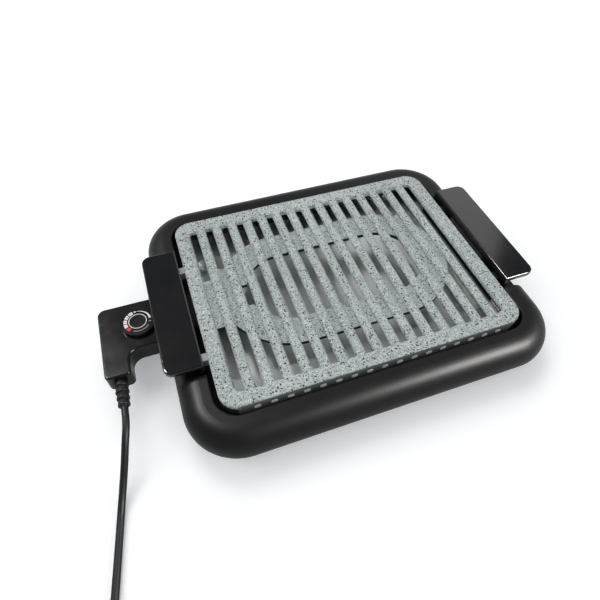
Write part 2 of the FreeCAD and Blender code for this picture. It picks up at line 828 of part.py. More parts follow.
def make_handle(name, side):
    """One handle with the lugs, screws and nuts that hold it to the skirt."""
    near = f"{side} * (plate_width / 2 + lug_gap)"
    far = f"{side} * (plate_width / 2 + lug_gap + handle_reach)"
    behind = f"{side} * (plate_width / 2 + lug_gap + fascia_thick)"
    body = new_body(f"{name}_handle_body")
    flap = plane_sketch(body, f"{name}_flap", "XY_Plane", FLAP_UNDER)
    add_box(flap, near, far, f"-{HANDLE_END}", HANDLE_END)
    grow(body, flap, "handle_thick")
    fascia = plane_sketch(body, f"{name}_fascia", "XY_Plane", "fascia_bottom")
    add_box(fascia, near, behind, f"-{HANDLE_END}", HANDLE_END)
    grow(body, fascia, f"{FLAP_UNDER} - fascia_bottom")
    window = plane_sketch(body, f"{name}_window", "XY_Plane", "fascia_bottom")
    add_box(window, f"{near} - {side}", f"{behind} + {side}", "-window_width / 2", "window_width / 2")
    dig(body, window, "window_top - fascia_bottom", upward=True)
    for end in (-1, 1):
        round_edges(
            body, "handle_corner", upright(far, f"{end} * {HANDLE_END}"), f"{name}_corner_{end + 1}"
        )
    round_edges(body, "handle_edge", level("handle_top"), f"{name}_top_edge")
    holes = plane_sketch(body, f"{name}_holes", "YZ_Plane", f"{near} - {side}")
    for end in (-1, 1):
        add_circle(holes, "handle_screw_size + handle_screw_gap", f"{end} * lug_span", "lug_centre")
    dig(body, holes, "fascia_thick + 2", upward=side > 0)
    as_node(body, f"{name}_handle")

    parts = []
    for place, end in (("front", -1), ("rear", 1)):
        y = f"{end} * lug_span"
        block = solid_box(
            f"{name}_{place}_lug",
            f"{side} * (plate_width / 2 + lug_gap / 2) - lug_gap / 2",
            f"{y} - lug_width / 2",
            "lug_centre - lug_height / 2",
            "lug_gap",
            "lug_width",
            "lug_height",
        )
        through = rod(
            f"{name}_{place}_lug_hole",
            "handle_screw_size + handle_screw_gap",
            "lug_gap + 2",
            f"{side} * (plate_width / 2 - 1)",
            y,
            "lug_centre",
            (side, 0, 0),
        )
        as_node(subtract(f"{name}_{place}_lug_cut", block, through), f"{name}_{place}_spacer")
        grip = "lug_gap + fascia_thick + skirt_wall + nut_thick + 1"
        shank = rod(
            f"{name}_{place}_shank", "handle_screw_size", grip, behind, y, "lug_centre", (-side, 0, 0)
        )
        cap = rod(
            f"{name}_{place}_cap",
            "handle_screw_size * 1.9",
            "handle_screw_size * 0.6",
            behind,
            y,
            "lug_centre",
            (side, 0, 0),
        )
        parts.append(join(f"{name}_{place}_screw", [shank, cap]))
        nut = doc.addObject("Part::Prism", f"{name}_{place}_nut")
        nut.Polygon = 6
        flat_up = Rotation(Vector(0, 0, 1), Vector(-side, 0, 0)) * Rotation(Vector(0, 0, 1), 30)
        nut.Placement = Placement(Vector(), flat_up)
        bind(nut, "Circumradius", "nut_size / 2 / cos(30)")
        bind(nut, "Height", "nut_thick")
        bind(nut, "Placement.Base.x", f"{side} * (plate_width / 2 - skirt_wall)")
        bind(nut, "Placement.Base.y", y)
        bind(nut, "Placement.Base.z", "lug_centre")
        nut_hole = rod(
            f"{name}_{place}_nut_hole",
            "handle_screw_size + 2 * seat_gap",
            "nut_thick + 2",
            f"{side} * (plate_width / 2 - skirt_wall + 1)",
            y,
            "lug_centre",
            (-side, 0, 0),
        )
        handle_nuts.append(subtract(f"{name}_{place}_nut_cut", nut, nut_hole))
    as_node(gather(f"{name}_screw_pair", parts), f"{name}_handle_screws")


handle_nuts = []
make_handle("left", -1)
make_handle("right", 1)
as_node(gather("nut_set", handle_nuts), "handle_nuts")

# Base: a hollow ring with a round outside, a ledge for the plate, a lower ledge for the tray and a
# notch at each end for the hands

OPENING_X = "plate_width + 2 * opening_gap"
OPENING_Y = "plate_depth + 2 * opening_gap"
OPENING_R = "plate_corner + opening_gap"
STEPS = [
    ("recess", "0", "plate_seat", "base_crest"),
    ("well", "plate_ledge", "tray_seat", "plate_seat"),
    ("hole", "plate_ledge + tray_ledge", "base_bottom", "tray_seat"),
]
NOTCH_HALF = f"{HANDLE_END} + notch_gap"

base = rounded_slab(
    "base_block", "base_width", "base_depth", "base_corner", "base_bottom", "base_crest - base_bottom"
)
round_edges(base, "crest_round", level("base_crest"), "base_crest_round")
round_edges(base, "under_round", level("base_bottom"), "base_under_round")
for name, inset, low, high in STEPS:
    cut_rectangle(
        base,
        f"base_{name}",
        f"{OPENING_X} - 2 * ({inset})",
        f"{OPENING_Y} - 2 * ({inset})",
        f"{OPENING_R} - ({inset})",
        low,
        f"{high} - {low}",
    )


def recess_edge(box):
    inside = max(abs(box.XMin), abs(box.XMax)) < size(f"({OPENING_X}) / 2 + 1")
    return level("base_crest")(box) and inside


round_edges(base, "opening_lip", recess_edge, "base_lip")


def cut_notches(body, name, half, floor):
    """Open both ends of a body above a floor height."""
    sketch = plane_sketch(body, name, "XY_Plane", floor)
    for side in (-1, 1):
        inner = f"{side} * (({OPENING_X}) / 2 - plate_ledge - tray_ledge - 4)"
        add_box(sketch, inner, f"{side} * (base_width / 2 + 5)", f"-({half})", half)
    dig(body, sketch, f"base_crest - ({floor}) + 5", upward=True)


cut_notches(base, "base_notches", NOTCH_HALF, "tray_seat")

BOSS_PLACES = []
for sx in (-1, 1):
    for sy in (-1, 1):
        BOSS_PLACES.append((f"{sx} * boss_span", f"{sy} * (({OPENING_Y}) / 2 + boss_inset)"))
        BOSS_PLACES.append((f"{sx} * (({OPENING_X}) / 2 + boss_inset)", f"{sy} * boss_span"))
drill(base, "base_pilots", "screw_size + 2 * seat_gap", BOSS_PLACES, "base_bottom", "pilot_depth")

# The space inside the ring, one wall away from every outside face
hollow = rounded_slab(
    "base_hollow",
    "base_width - 2 * base_wall",
    "base_depth - 2 * base_wall",
    "base_corner - base_wall",
    "base_bottom + base_wall",
    "base_crest - base_bottom - 2 * base_wall",
)
round_edges(hollow, "crest_round - base_wall", level("base_crest - base_wall"), "hollow_crest_round")
round_edges(hollow, "under_round - base_wall", level("base_bottom + base_wall"), "hollow_under_round")
hollow_mouth = plane_sketch(hollow, "hollow_mouth", "XY_Plane", "base_bottom")
add_rectangle(
    hollow_mouth,
    "base_width - 2 * (under_round + base_wall)",
    "base_depth - 2 * (under_round + base_wall)",
    "base_corner - under_round - base_wall",
)
grow(hollow, hollow_mouth, "base_wall * 2")
for name, inset, low, high in STEPS:
    floor = "base_bottom" if name == "hole" else f"{low} - base_wall"
    cut_rectangle(
        hollow,
        f"hollow_{name}",
        f"{OPENING_X} - 2 * ({inset}) + 2 * base_wall",
        f"{OPENING_Y} - 2 * ({inset}) + 2 * base_wall",
        f"{OPENING_R} - ({inset}) + base_wall",
        floor,
        f"{high} - base_wall - ({floor})",
    )
cut_notches(hollow, "hollow_notches", f"{NOTCH_HALF} + base_wall", "tray_seat - base_wall")
drill(hollow, "hollow_bosses", "boss_size", BOSS_PLACES, "base_bottom", "base_crest - base_bottom")
as_node(subtract("base_shell_cut", base, hollow), "base_shell")

COVER_UNDER = "base_bottom - cover_thick"
cover = rounded_slab(
    "cover_body",
    "base_width - 2 * (under_round + cover_inset)",
    "base_depth - 2 * (under_round + cover_inset)",
    "base_corner - under_round - cover_inset",
    COVER_UNDER,
    "cover_thick",
)
drill(cover, "cover_holes", "screw_size + screw_gap", BOSS_PLACES, COVER_UNDER, "cover_thick")
for name, side in (("front", -1), ("rear", 1)):
    vent = plane_sketch(cover, f"cover_vent_{name}", "XY_Plane", COVER_UNDER)
    start = f"-vent_pitch * {(VENT_COUNT - 1) / 2}"
    add_rectangle(vent, "vent_width", "vent_length", "vent_width / 2 - 0.05", start, f"{side} * vent_row")
    vent_cut = dig(cover, vent, "cover_thick", upward=True)
    repeat(cover, vent_cut, "X_Axis", f"vent_pitch * {VENT_COUNT - 1}", VENT_COUNT)
as_node(cover, "bottom_cover")

cover_screws = new_body("cover_screws")
add_discs(
    cover_screws,
    "cover_heads",
    "screw_head",
    BOSS_PLACES,
    f"{COVER_UNDER} - screw_head_thick",
    "screw_head_thick",
)
add_discs(
    cover_screws, "cover_shanks", "screw_size", BOSS_PLACES, COVER_UNDER, "cover_thick + pilot_depth - 1"
)
as_node(cover_screws, "bottom_screws")

for depth_name, sy in (("front", -1), ("rear", 1)):
    for width_name, sx in (("left", -1), ("right", 1)):
        name = f"foot_{depth_name}_{width_name}"
        foot = new_body(f"{name}_body")
        place = [(f"{sx} * foot_reach", f"{sy} * foot_spread")]
        add_discs(foot, f"{name}_disc", "foot_size", place, "0", COVER_UNDER)
        round_edges(foot, "foot_round", level("0"), f"{name}_edge")
        as_node(foot, name)

# Drip tray: a thin pan that hangs from its flange, which is widest at the front and the rear

TRAY_INSET = "plate_ledge + tray_gap"
tray = rounded_slab(
    "tray_body",
    f"{OPENING_X} - 2 * ({TRAY_INSET})",
    f"{OPENING_Y} - 2 * ({TRAY_INSET})",
    f"{OPENING_R} - ({TRAY_INSET})",
    "tray_seat",
    "tray_wall",
)
PAN_X = f"{OPENING_X} - 2 * ({TRAY_INSET} + tray_ledge)"
PAN_Y = f"{OPENING_Y} - 2 * ({TRAY_INSET} + tray_ledge + tray_shelf)"
pan = plane_sketch(tray, "tray_pan", "XY_Plane", "tray_seat")
add_rectangle(pan, PAN_X, PAN_Y, "tray_corner")
pan_pad = grow(tray, pan, "tray_seat - tray_floor + tray_wall", reverse=True)
bind(pan_pad, "TaperAngle", "-tray_taper")
doc.recompute()
cut_rectangle(
    tray,
    "tray_mouth",
    f"{PAN_X} - 2 * tray_wall",
    f"{PAN_Y} - 2 * tray_wall",
    "tray_corner - tray_wall",
    "tray_seat",
    "tray_wall",
)
inside = plane_sketch(tray, "tray_inside", "XY_Plane", "tray_seat")
add_rectangle(inside, f"{PAN_X} - 2 * tray_wall", f"{PAN_Y} - 2 * tray_wall", "tray_corner - tray_wall")
inside_cut = dig(tray, inside, "tray_seat - tray_floor")
bind(inside_cut, "TaperAngle", "-tray_taper")
doc.recompute()
as_node(tray, "drip_tray")

# Control: two housing halves in an L shape, with the sockets, the probe and the thermostat inside

NOSE_X = "-plate_width / 2 - nose_gap"
BODY_X = "-plate_width / 2 - nose_gap - nose_length"
LEFT_X = "-control_left"
LEG_X = "-control_left + leg_width"
LEG_Y = "-control_front - leg_reach"
FRONT_Y = "-control_front"
REAR_Y = "control_rear"
INSIDE_FLOOR = "control_bottom + control_wall"
INSIDE_ROOF = "control_top - control_wall"
UPPER_BOTTOM = "pin_height + seam_gap"
COLUMNS = [
    (f"{LEFT_X} + column_inset", f"{REAR_Y} - column_inset"),
    (f"{BODY_X} - column_inset", f"{REAR_Y} - column_inset"),
    (f"{LEFT_X} + column_inset", f"{FRONT_Y} + column_inset"),
]


def control_outline(inset):
    """The corners of the L shape, moved inward by a distance."""
    gap = f"({inset})"
    half = f"nose_width / 2 - {gap}"
    return [
        (f"{NOSE_X} - {gap}", f"-({half})"),
        (f"{NOSE_X} - {gap}", half),
        (f"{BODY_X} - {gap}", half),
        (f"{BODY_X} - {gap}", f"{REAR_Y} - {gap}"),
        (f"{LEFT_X} + {gap}", f"{REAR_Y} - {gap}"),
        (f"{LEFT_X} + {gap}", f"{LEG_Y} + {gap}"),
        (f"{LEG_X} - {gap}", f"{LEG_Y} + {gap}"),
        (f"{LEG_X} - {gap}", f"{FRONT_Y} + {gap}"),
        (f"{BODY_X} - {gap}", f"{FRONT_Y} + {gap}"),
        (f"{BODY_X} - {gap}", f"-({half})"),
    ]


def make_housing(name, low, high, inside_low, inside_high, outer_level):
    """One half of the control's case, with its screw columns and the half holes at the seam."""
    body = new_body(f"{name}_housing_body")
    corners = control_outline("0")
    outline = plane_sketch(body, f"{name}_outline", "XY_Plane", low)
    add_polygon(outline, corners)
    grow(body, outline, f"{high} - ({low})")
    rounds = {4: "control_corner", 3: "shoulder_round", 5: "leg_corner", 6: "leg_corner", 7: "elbow_round"}
    for index, radius in rounds.items():
        round_edges(body, radius, upright(*corners[index]), f"{name}_corner_{index}")
    round_edges(body, "control_edge", level(outer_level), f"{name}_edge")
    space = plane_sketch(body, f"{name}_space", "XY_Plane", inside_low)
    add_polygon(space, control_outline("control_wall"))
    dig(body, space, f"{inside_high} - ({inside_low})", upward=True)
    inner = control_outline("control_wall")
    round_edges(body, "control_corner - control_wall", upright(*inner[4]), f"{name}_inner_corner")
    return body


def open_housing(body, name):
    """Holes on the seam: two for the pins, one for the probe, one for the cable sleeve."""
    sockets = plane_sketch(body, f"{name}_sockets", "YZ_Plane", NOSE_X)
    for side in (-1, 1):
        add_circle(sockets, "nose_hole", f"{side} * pin_spread / 2", "pin_height")
    add_circle(sockets, "probe_size + 2 * seat_gap", "0", "pin_height")
    dig(body, sockets, "control_wall + 0.5")
    gland = plane_sketch(body, f"{name}_gland", "XZ_Plane", f"-({LEG_Y})")
    add_circle(gland, "2 * relief_neck + 2 * seat_gap", f"{LEFT_X} + leg_width / 2", "pin_height")
    dig(body, gland, "control_wall + 0.5")


lower = make_housing("lower", "control_bottom", "pin_height", INSIDE_FLOOR, "pin_height", "control_bottom")
add_discs(lower, "lower_columns", "column_size", COLUMNS, INSIDE_FLOOR, f"pin_height - ({INSIDE_FLOOR})")
drill(
    lower,
    "lower_column_holes",
    "screw_size + 2 * seat_gap",
    COLUMNS,
    "control_bottom",
    "pin_height - control_bottom",
)
open_housing(lower, "lower")
as_node(lower, "control_lower_housing")

upper = make_housing("upper", UPPER_BOTTOM, "control_top", UPPER_BOTTOM, INSIDE_ROOF, "control_top")
add_discs(upper, "upper_columns", "column_size", COLUMNS, "pin_height", f"{INSIDE_ROOF} - pin_height")
drill(upper, "upper_column_holes", "screw_size + 2 * seat_gap", COLUMNS, "pin_height", "column_grip")
open_housing(upper, "upper")
drill(
    upper,
    "upper_shaft_hole",
    "shaft_size + 2 * shaft_gap",
    [("-dial_x", "-dial_y")],
    INSIDE_ROOF,
    "control_wall + 1",
)
as_node(upper, "control_upper_housing")

case_screws = new_body("case_screws")
add_discs(
    case_screws,
    "case_heads",
    "screw_head",
    COLUMNS,
    "control_bottom - screw_head_thick",
    "screw_head_thick",
)
add_discs(
    case_screws,
    "case_shanks",
    "screw_size",
    COLUMNS,
    "control_bottom",
    "pin_height - control_bottom + column_grip - 1",
)
as_node(case_screws, "housing_screws")

BLOCK_X = f"{NOSE_X} - contact_length + 4"
block = solid_box(
    "block",
    f"{BLOCK_X} - block_length",
    "-block_width / 2",
    INSIDE_FLOOR,
    "block_length",
    "block_width",
    f"{INSIDE_ROOF} - ({INSIDE_FLOOR})",
)
BLOCK_BORE = "block_length + 2"
INWARD = (-1, 0, 0)
block_holes = [
    rod(
        "block_probe_hole",
        "probe_size + 2 * seat_gap",
        BLOCK_BORE,
        f"{BLOCK_X} + 1",
        "0",
        "pin_height",
        INWARD,
    )
]
CONTACT_X = f"{NOSE_X} - control_wall - 0.5"
for name, side in (("front", -1), ("rear", 1)):
    y = f"{side} * pin_spread / 2"
    hole_name = f"block_hole_{name}"
    hole_size = "contact_size + 2 * seat_gap"
    block_holes.append(rod(hole_name, hole_size, BLOCK_BORE, f"{BLOCK_X} + 1", y, "pin_height", INWARD))
    sleeve = rod(
        f"contact_tube_{name}", "contact_size", "contact_length", CONTACT_X, y, "pin_height", INWARD
    )
    bore = rod(
        f"contact_bore_{name}", "contact_bore", "contact_length - 2", CONTACT_X, y, "pin_height", INWARD
    )
    as_node(subtract(f"contact_cut_{name}", sleeve, bore), f"contact_{name}")
as_node(subtract("block_cut", block, join("block_hole_set", block_holes)), "contact_block")

PROBE_TIP = "-plate_width / 2 + probe_depth - probe_size / 2 - 2"
PROBE_END = f"{BLOCK_X} - block_length - 2"
probe_rod = rod(
    "probe_rod", "probe_size", f"{PROBE_TIP} - ({PROBE_END})", PROBE_END, "0", "pin_height", (1, 0, 0)
)
probe_tip = doc.addObject("Part::Sphere", "probe_tip")
bind(probe_tip, "Radius", "probe_size / 2")
bind(probe_tip, "Placement.Base.x", PROBE_TIP)
bind(probe_tip, "Placement.Base.z", "pin_height")
as_node(join("probe_join", [probe_rod, probe_tip]), "temperature_probe")

SWITCH_TOP = f"{INSIDE_FLOOR} + switch_height"
switch = solid_box(
    "switch",
    "-dial_x - switch_length / 2",
    "-dial_y - switch_width / 2",
    INSIDE_FLOOR,
    "switch_length",
    "switch_width",
    "switch_height",
)
as_node(switch, "switch_block")
for name, side in (("contact_blade", -1), ("bimetal_blade", 1)):
    blade = solid_box(
        name,
        "-dial_x - blade_length / 2",
        f"-dial_y + {side} * (blade_width / 2 + 0.5) - blade_width / 2",
        SWITCH_TOP,
        "blade_length",
        "blade_width",
        "blade_thick",
    )
    as_node(blade, name)

# Dial on its shaft

DIAL_UNDER = "control_top + dial_gap"
SHAFT_FOOT = f"{SWITCH_TOP} + blade_thick + dial_gap"
shaft = rod(
    "shaft",
    "shaft_size",
    f"{DIAL_UNDER} + shaft_sink - ({SHAFT_FOOT})",
    "-dial_x",
    "-dial_y",
    SHAFT_FOOT,
    (0, 0, 1),
)
as_node(shaft, "dial_shaft")


def place_body(body, x, y, z):
    """Put a body's own origin at a driven place."""
    for axis, expression in (("x", x), ("y", y), ("z", z)):
        bind(body, f"Placement.Base.{axis}", expression)


knob = new_body("knob_body")
place_body(knob, "-dial_x", "-dial_y", DIAL_UNDER)
add_discs(knob, "knob_disc", "dial_size", [("0", "0")], "0", "dial_height")
drill(knob, "knob_socket", "shaft_size + 2 * seat_gap", [("0", "0")], "0", "shaft_sink")
FACE_SEAT = "dial_height - face_thick"
drill(knob, "knob_recess", "face_size + 2 * face_gap", [("0", "0")], FACE_SEAT, "face_thick")
groove_cut = drill(knob, "knob_grip", "grip_size", [("dial_size / 2 + 0.2", "0")], "0", "dial_height")
grips = knob.newObject("PartDesign::PolarPattern", "knob_grips")
grips.Originals = [groove_cut]
grips.Axis = (next(item for item in knob.Origin.OriginFeatures if item.Role == "Z_Axis"), [""])
grips.Angle = 360
grips.Occurrences = GRIP_COUNT
knob.Tip = grips
doc.recompute()
as_node(knob, "dial_knob")

face = new_body("face_body")
place_body(face, "-dial_x", "-dial_y", f"{DIAL_UNDER} + dial_height - face_thick")
add_discs(face, "face_disc", "face_size", [("0", "0")], "0", "face_thick")
as_node(face, "dial_face")

# Ribbed cable sleeve, turned about its own Y axis

relief = new_body("relief_body")
RELIEF_X = f"{LEFT_X} + leg_width / 2"
place_body(relief, RELIEF_X, LEG_Y, "pin_height")


def relief_profile():
    """Half of the sleeve's section: a collar inside the case, a neck in the wall, then ribs."""
    points = [("0", "control_wall + 3"), ("relief_neck + 2", "control_wall + 3")]
    points += [("relief_neck + 2", "control_wall + seat_gap"), ("relief_neck", "control_wall + seat_gap")]
    points += [("relief_neck", "-seat_gap")]
    step = f"(relief_length / {RELIEF_RIBS})"
    taper = f"((relief_size - relief_end) / 2 / {RELIEF_RIBS})"
    for k in range(RELIEF_RIBS):
        rib_radius = f"(relief_size / 2 - {taper} * {k})"
        valley = f"(relief_end / 2 - 0.4 - {taper} * {k * 0.2})"
        top = f"-{step} * {k}" if k else "-seat_gap"
        points += [(rib_radius, top), (rib_radius, f"-{step} * {k + 0.62}")]
        points += [(valley, f"-{step} * {k + 0.66}"), (valley, f"-{step} * {k + 0.96}")]
    last = "-relief_length - 0.5"
    points += [("relief_end / 2", f"-{step} * {RELIEF_RIBS - 0.02}"), ("relief_end / 2", last)]
    return points + [("0", last)]


def turn(body, sketch):
    """Revolve a half section about the sketch's vertical axis."""
    spin = body.newObject("PartDesign::Revolution", sketch.Name + "_turn")
    spin.Profile = sketch
    spin.ReferenceAxis = (sketch, ["V_Axis"])
    spin.Angle = 360
    sketch.Visibility = False
    doc.recompute()
    return spin


relief_sketch = plane_sketch(relief, "relief_section", "XY_Plane", "0")
add_polygon(relief_sketch, relief_profile())
turn(relief, relief_sketch)
as_node(relief, "strain_relief")

# Lead: from the sleeve down to the table, then to a coil with the plug beside it

cord = size("cord_size")
rest = size("coil_rest")
gland = Vector(size(RELIEF_X), size(f"{LEG_Y} - relief_length - 0.5"), size("pin_height"))
ROUTE = [
    (0, 0, 0),
    (0, -15, 0),
    (-4, -31, -4),
    (-9.5, -46, -15.5),
    (-15.8, -61, -28),
    (-21.8, -78, -37),
]
route = [gland + Vector(*step) for step in ROUTE]
table_z = cord / 2 + 0.2
FLAT_RUN = [(-26.6, -101, table_z), (-31.2, -126, table_z + 0.3), (-36.2, -152, rest - 0.4)]
for step_x, step_y, height in FLAT_RUN:
    route.append(Vector(gland.x + step_x, gland.y + step_y, height))
route.append(Vector(gland.x - 41.5, gland.y - 180, rest))
route.append(Vector(gland.x - 45.5, gland.y - 204, rest))
cord_edges = rounded_route(route, "power_cord")
as_node(fixed_shape("cord_tube", tube_along(cord_edges, cord)), "power_cord")

ahead = (route[-1] - route[-2]).normalize()
aside = Vector(ahead.y, -ahead.x, 0)
up = Vector(0, 0, 1)


def coil_edges():
    """Two layers of turns: in along the table, up one layer at the middle, and out on top."""
    pitch = size("coil_pitch")
    outer = size("coil_radius")
    lift = size("coil_layer")
    start = route[-1]
    edges = [Part.LineSegment(start, start + ahead * cord).toShape()]
    here = start + ahead * cord
    radii = [outer - pitch / 2 * k for k in range(5)] + [outer - pitch / 2 * k for k in (3, 2, 1)]
    for k, radius in enumerate(radii):
        way = 1 if k % 2 == 0 else -1
        rise = lift if k == 4 else 0
        end = here + aside * (2 * radius * way) + up * rise
        centre = (here + end) * 0.5
        reach = here.distanceToPoint(end) / 2
        edges.append(Part.Arc(here, centre + ahead * (reach * way), end).toShape())
        here = end
    edges.append(Part.LineSegment(here, here + ahead * cord).toShape())
    return edges, here + ahead * cord


def least_gap(edges, diameter):
    """The smallest clear distance between parts of a path that are far apart along it."""
    points = []
    along = 0.0
    for edge in edges:
        count = max(2, int(edge.Length / 1.5))
        low, high = edge.FirstParameter, edge.LastParameter
        for k in range(count):
            points.append((along + edge.Length * k / count, edge.valueAt(low + (high - low) * k / count)))
        along += edge.Length
    gaps = [
        there.distanceToPoint(here)
        for k, (mark, here) in enumerate(points)
        for later, there in points[k + 1 :]
        if later - mark > 4 * diameter
    ]
    return min(gaps) - diameter


coil, coil_end = coil_edges()
coil_length = sum(edge.Length for edge in coil)
print(f"cord_coil: length {coil_length:.1f}, least gap {least_gap(coil, cord):.2f}")
coil_tube = tube_along(coil, cord)
coil_fill = coil_tube.Volume / (math.pi * cord**2 / 4 * coil_length)
print(f"cord_coil: volume against section times length {coil_fill:.4f}")
as_node(fixed_shape("coil_tube", coil_tube), "cord_coil")

climb = size("plug_axis") - coil_end.z
tail_points = [
    coil_end,
    coil_end + ahead * 14,
    coil_end + ahead * 30 + up * climb * 0.45,
    coil_end + ahead * 46 + up * climb,
    coil_end + ahead * 60 + up * climb,
]
tail_edges = rounded_route(tail_points, "cord_tail")
as_node(fixed_shape("tail_tube", tube_along(tail_edges, cord)), "cord_tail")

# Band round the coil where both layers lie straight above each other
tie_radius = size("coil_radius - coil_pitch - tie_inset")
coil_middle = route[-1] + ahead * cord + aside * size("coil_radius")
tie_gap = size("tie_gap")
tie_in = Vector(size("tie_width"), size("coil_pitch") + cord + 2 * tie_gap, size("coil_layer") + cord + 0.6)
wall = size("tie_thick")
tie_out = tie_in + Vector(0, 2 * wall, 2 * wall)
tie_height = rest + size("coil_layer") / 2


def tie_box(extent, longer):
    box = Part.makeBox(extent.x + longer, extent.y, extent.z, extent * -0.5 - Vector(longer / 2, 0, 0))
    frame = Rotation(aside, ahead, up, "ZXY")
    box.Placement = Placement(coil_middle - ahead * tie_radius + up * (tie_height - rest), frame)
    return box


as_node(fixed_shape("tie_band", tie_box(tie_out, 0).cut(tie_box(tie_in, 2))), "cord_tie")

# Plug, lying on its side at the end of the lead

plug = new_body("plug_body_turned")
plug_angle = math.degrees(math.atan2(ahead.x, -ahead.y))
plug_place = Placement(tail_points[-1], Rotation(up, plug_angle))
plug.Placement = plug_place
plug_sketch = plane_sketch(plug, "plug_section", "XY_Plane", "0")
add_polygon(
    plug_sketch,
    [
        ("0", "0"),
        ("cord_size / 2 + 1.5", "0"),
        ("cord_size / 2 + 3", "-plug_bush"),
        ("plug_size / 2 - 7", "-plug_bush - 1"),
        ("plug_size / 2 - 1", "-plug_length + 16"),
        ("plug_size / 2", "-plug_length + 12"),
        ("plug_size / 2", "-plug_length"),
        ("0", "-plug_length"),
    ],
)
turn(plug, plug_sketch)
as_node(plug, "plug_body")

plug_pins = new_body("plug_pin_pair")
plug_pins.Placement = plug_place
pin_sketch = plane_sketch(plug_pins, "plug_pin_section", "XZ_Plane", "plug_length")
for side in (-1, 1):
    add_circle(pin_sketch, "plug_pin_size", f"{side} * plug_pin_spread / 2", "0")
grow(plug_pins, pin_sketch, "plug_pin_length")
as_node(plug_pins, "plug_pins")

print(f"lead: {sum(e.Length for e in cord_edges + coil + tail_edges):.0f} mm from sleeve to plug")

doc.recompute()
broken = [item.Name for item in doc.Objects if "Invalid" in item.State or "Error" in item.State]
if broken:
    raise RuntimeError(f"failed objects: {broken}")
for node in nodes:
    if node.Shape.isNull() or not node.Shape.isValid():
        raise RuntimeError(f"{node.Label} has no valid shape")

os.makedirs("parts", exist_ok=True)
for node in nodes:
    node.Shape.exportStep(f"parts/{node.Label}.step")
    print(f"{node.Label}: {len(node.Shape.Solids)} solid(s), {node.Shape.Volume / 1000:.2f} cm3")
print(f"{len(nodes)} pieces written")
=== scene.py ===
# %% [markdown]
# # A table grill with a speckled plate
#
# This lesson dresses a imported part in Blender: a black ring-shaped base, a loose aluminium tray, a
# slotted cast plate with a stone-like coating, two gloss handles, and a plug-in control with a dial
# and a lead. The solids come from the pack and stay where they are. The lesson adds the looks:
# finishes made of shader nodes, and the small pieces that repeat, made with Geometry Nodes.

import json
import math

import bpy
from mathutils import Matrix, Vector

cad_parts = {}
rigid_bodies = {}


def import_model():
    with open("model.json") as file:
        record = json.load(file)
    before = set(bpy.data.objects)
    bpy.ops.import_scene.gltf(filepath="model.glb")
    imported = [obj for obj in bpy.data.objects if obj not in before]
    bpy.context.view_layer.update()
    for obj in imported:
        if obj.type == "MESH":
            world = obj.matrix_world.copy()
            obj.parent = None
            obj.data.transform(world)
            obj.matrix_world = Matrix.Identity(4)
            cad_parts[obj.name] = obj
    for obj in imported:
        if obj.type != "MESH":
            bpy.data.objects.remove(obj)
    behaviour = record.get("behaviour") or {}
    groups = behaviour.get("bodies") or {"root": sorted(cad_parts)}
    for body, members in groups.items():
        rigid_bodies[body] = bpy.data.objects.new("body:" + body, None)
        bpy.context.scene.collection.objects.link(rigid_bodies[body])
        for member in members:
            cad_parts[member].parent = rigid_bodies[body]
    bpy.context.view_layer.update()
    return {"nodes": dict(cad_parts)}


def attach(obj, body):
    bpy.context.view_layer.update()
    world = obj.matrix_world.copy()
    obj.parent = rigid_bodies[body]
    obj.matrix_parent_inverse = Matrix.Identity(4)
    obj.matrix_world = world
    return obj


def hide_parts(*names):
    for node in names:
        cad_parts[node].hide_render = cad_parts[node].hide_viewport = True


for leftover in list(bpy.data.objects):
    bpy.data.objects.remove(leftover)

MM = 0.001
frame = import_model()
solids = frame["nodes"]

# %% [markdown]
# ## Camera
#
# The photograph looks down on the grill from the front left. Its camera was found by matching the
# corners of the plate, so it is written here as a place and two directions, ahead and up. A camera
# looks along its own minus Z, so the third column of its matrix is the direction backwards.

# %% Place the camera
CAMERA_PLACE = Vector((-0.1698, -0.3227, 0.4685))
CAMERA_AHEAD = Vector((0.2177, 0.5664, -0.7949)).normalized()
CAMERA_UP = Vector((0.2528, 0.7540, 0.6064))
FOCAL_MM = 27.98
SENSOR_MM = 36.0


def link_object(name, data):
    """Put a new object into the scene."""
    thing = bpy.data.objects.new(name, data)
    bpy.context.scene.collection.objects.link(thing)
    return thing


camera_data = bpy.data.cameras.new("photo_camera")
camera_data.sensor_width = SENSOR_MM
camera_data.lens = FOCAL_MM
camera_data.clip_start = 0.02
camera_data.clip_end = 60
camera = link_object("photo_camera", camera_data)
across = CAMERA_AHEAD.cross(CAMERA_UP).normalized()
upward = across.cross(CAMERA_AHEAD)
turn = Matrix((across, upward, -CAMERA_AHEAD)).transposed()
camera.matrix_world = Matrix.Translation(CAMERA_PLACE) @ turn.to_4x4()
bpy.context.scene.camera = camera
print("camera", FOCAL_MM, "mm at", tuple(CAMERA_PLACE))

# %% [markdown]
# ## Lead
#
# The lead is a round black cable, 7 mm thick. It leaves the sleeve level, sags to the table and runs
# forward out of the picture. The rest of its length is wound in two layers, and the plug lies beside
# the coil. A NURBS curve draws it from few points, and the coil is more points of the same curve. A
# quadratic curve runs a little inside its points, so each turn's points stand slightly outside it.

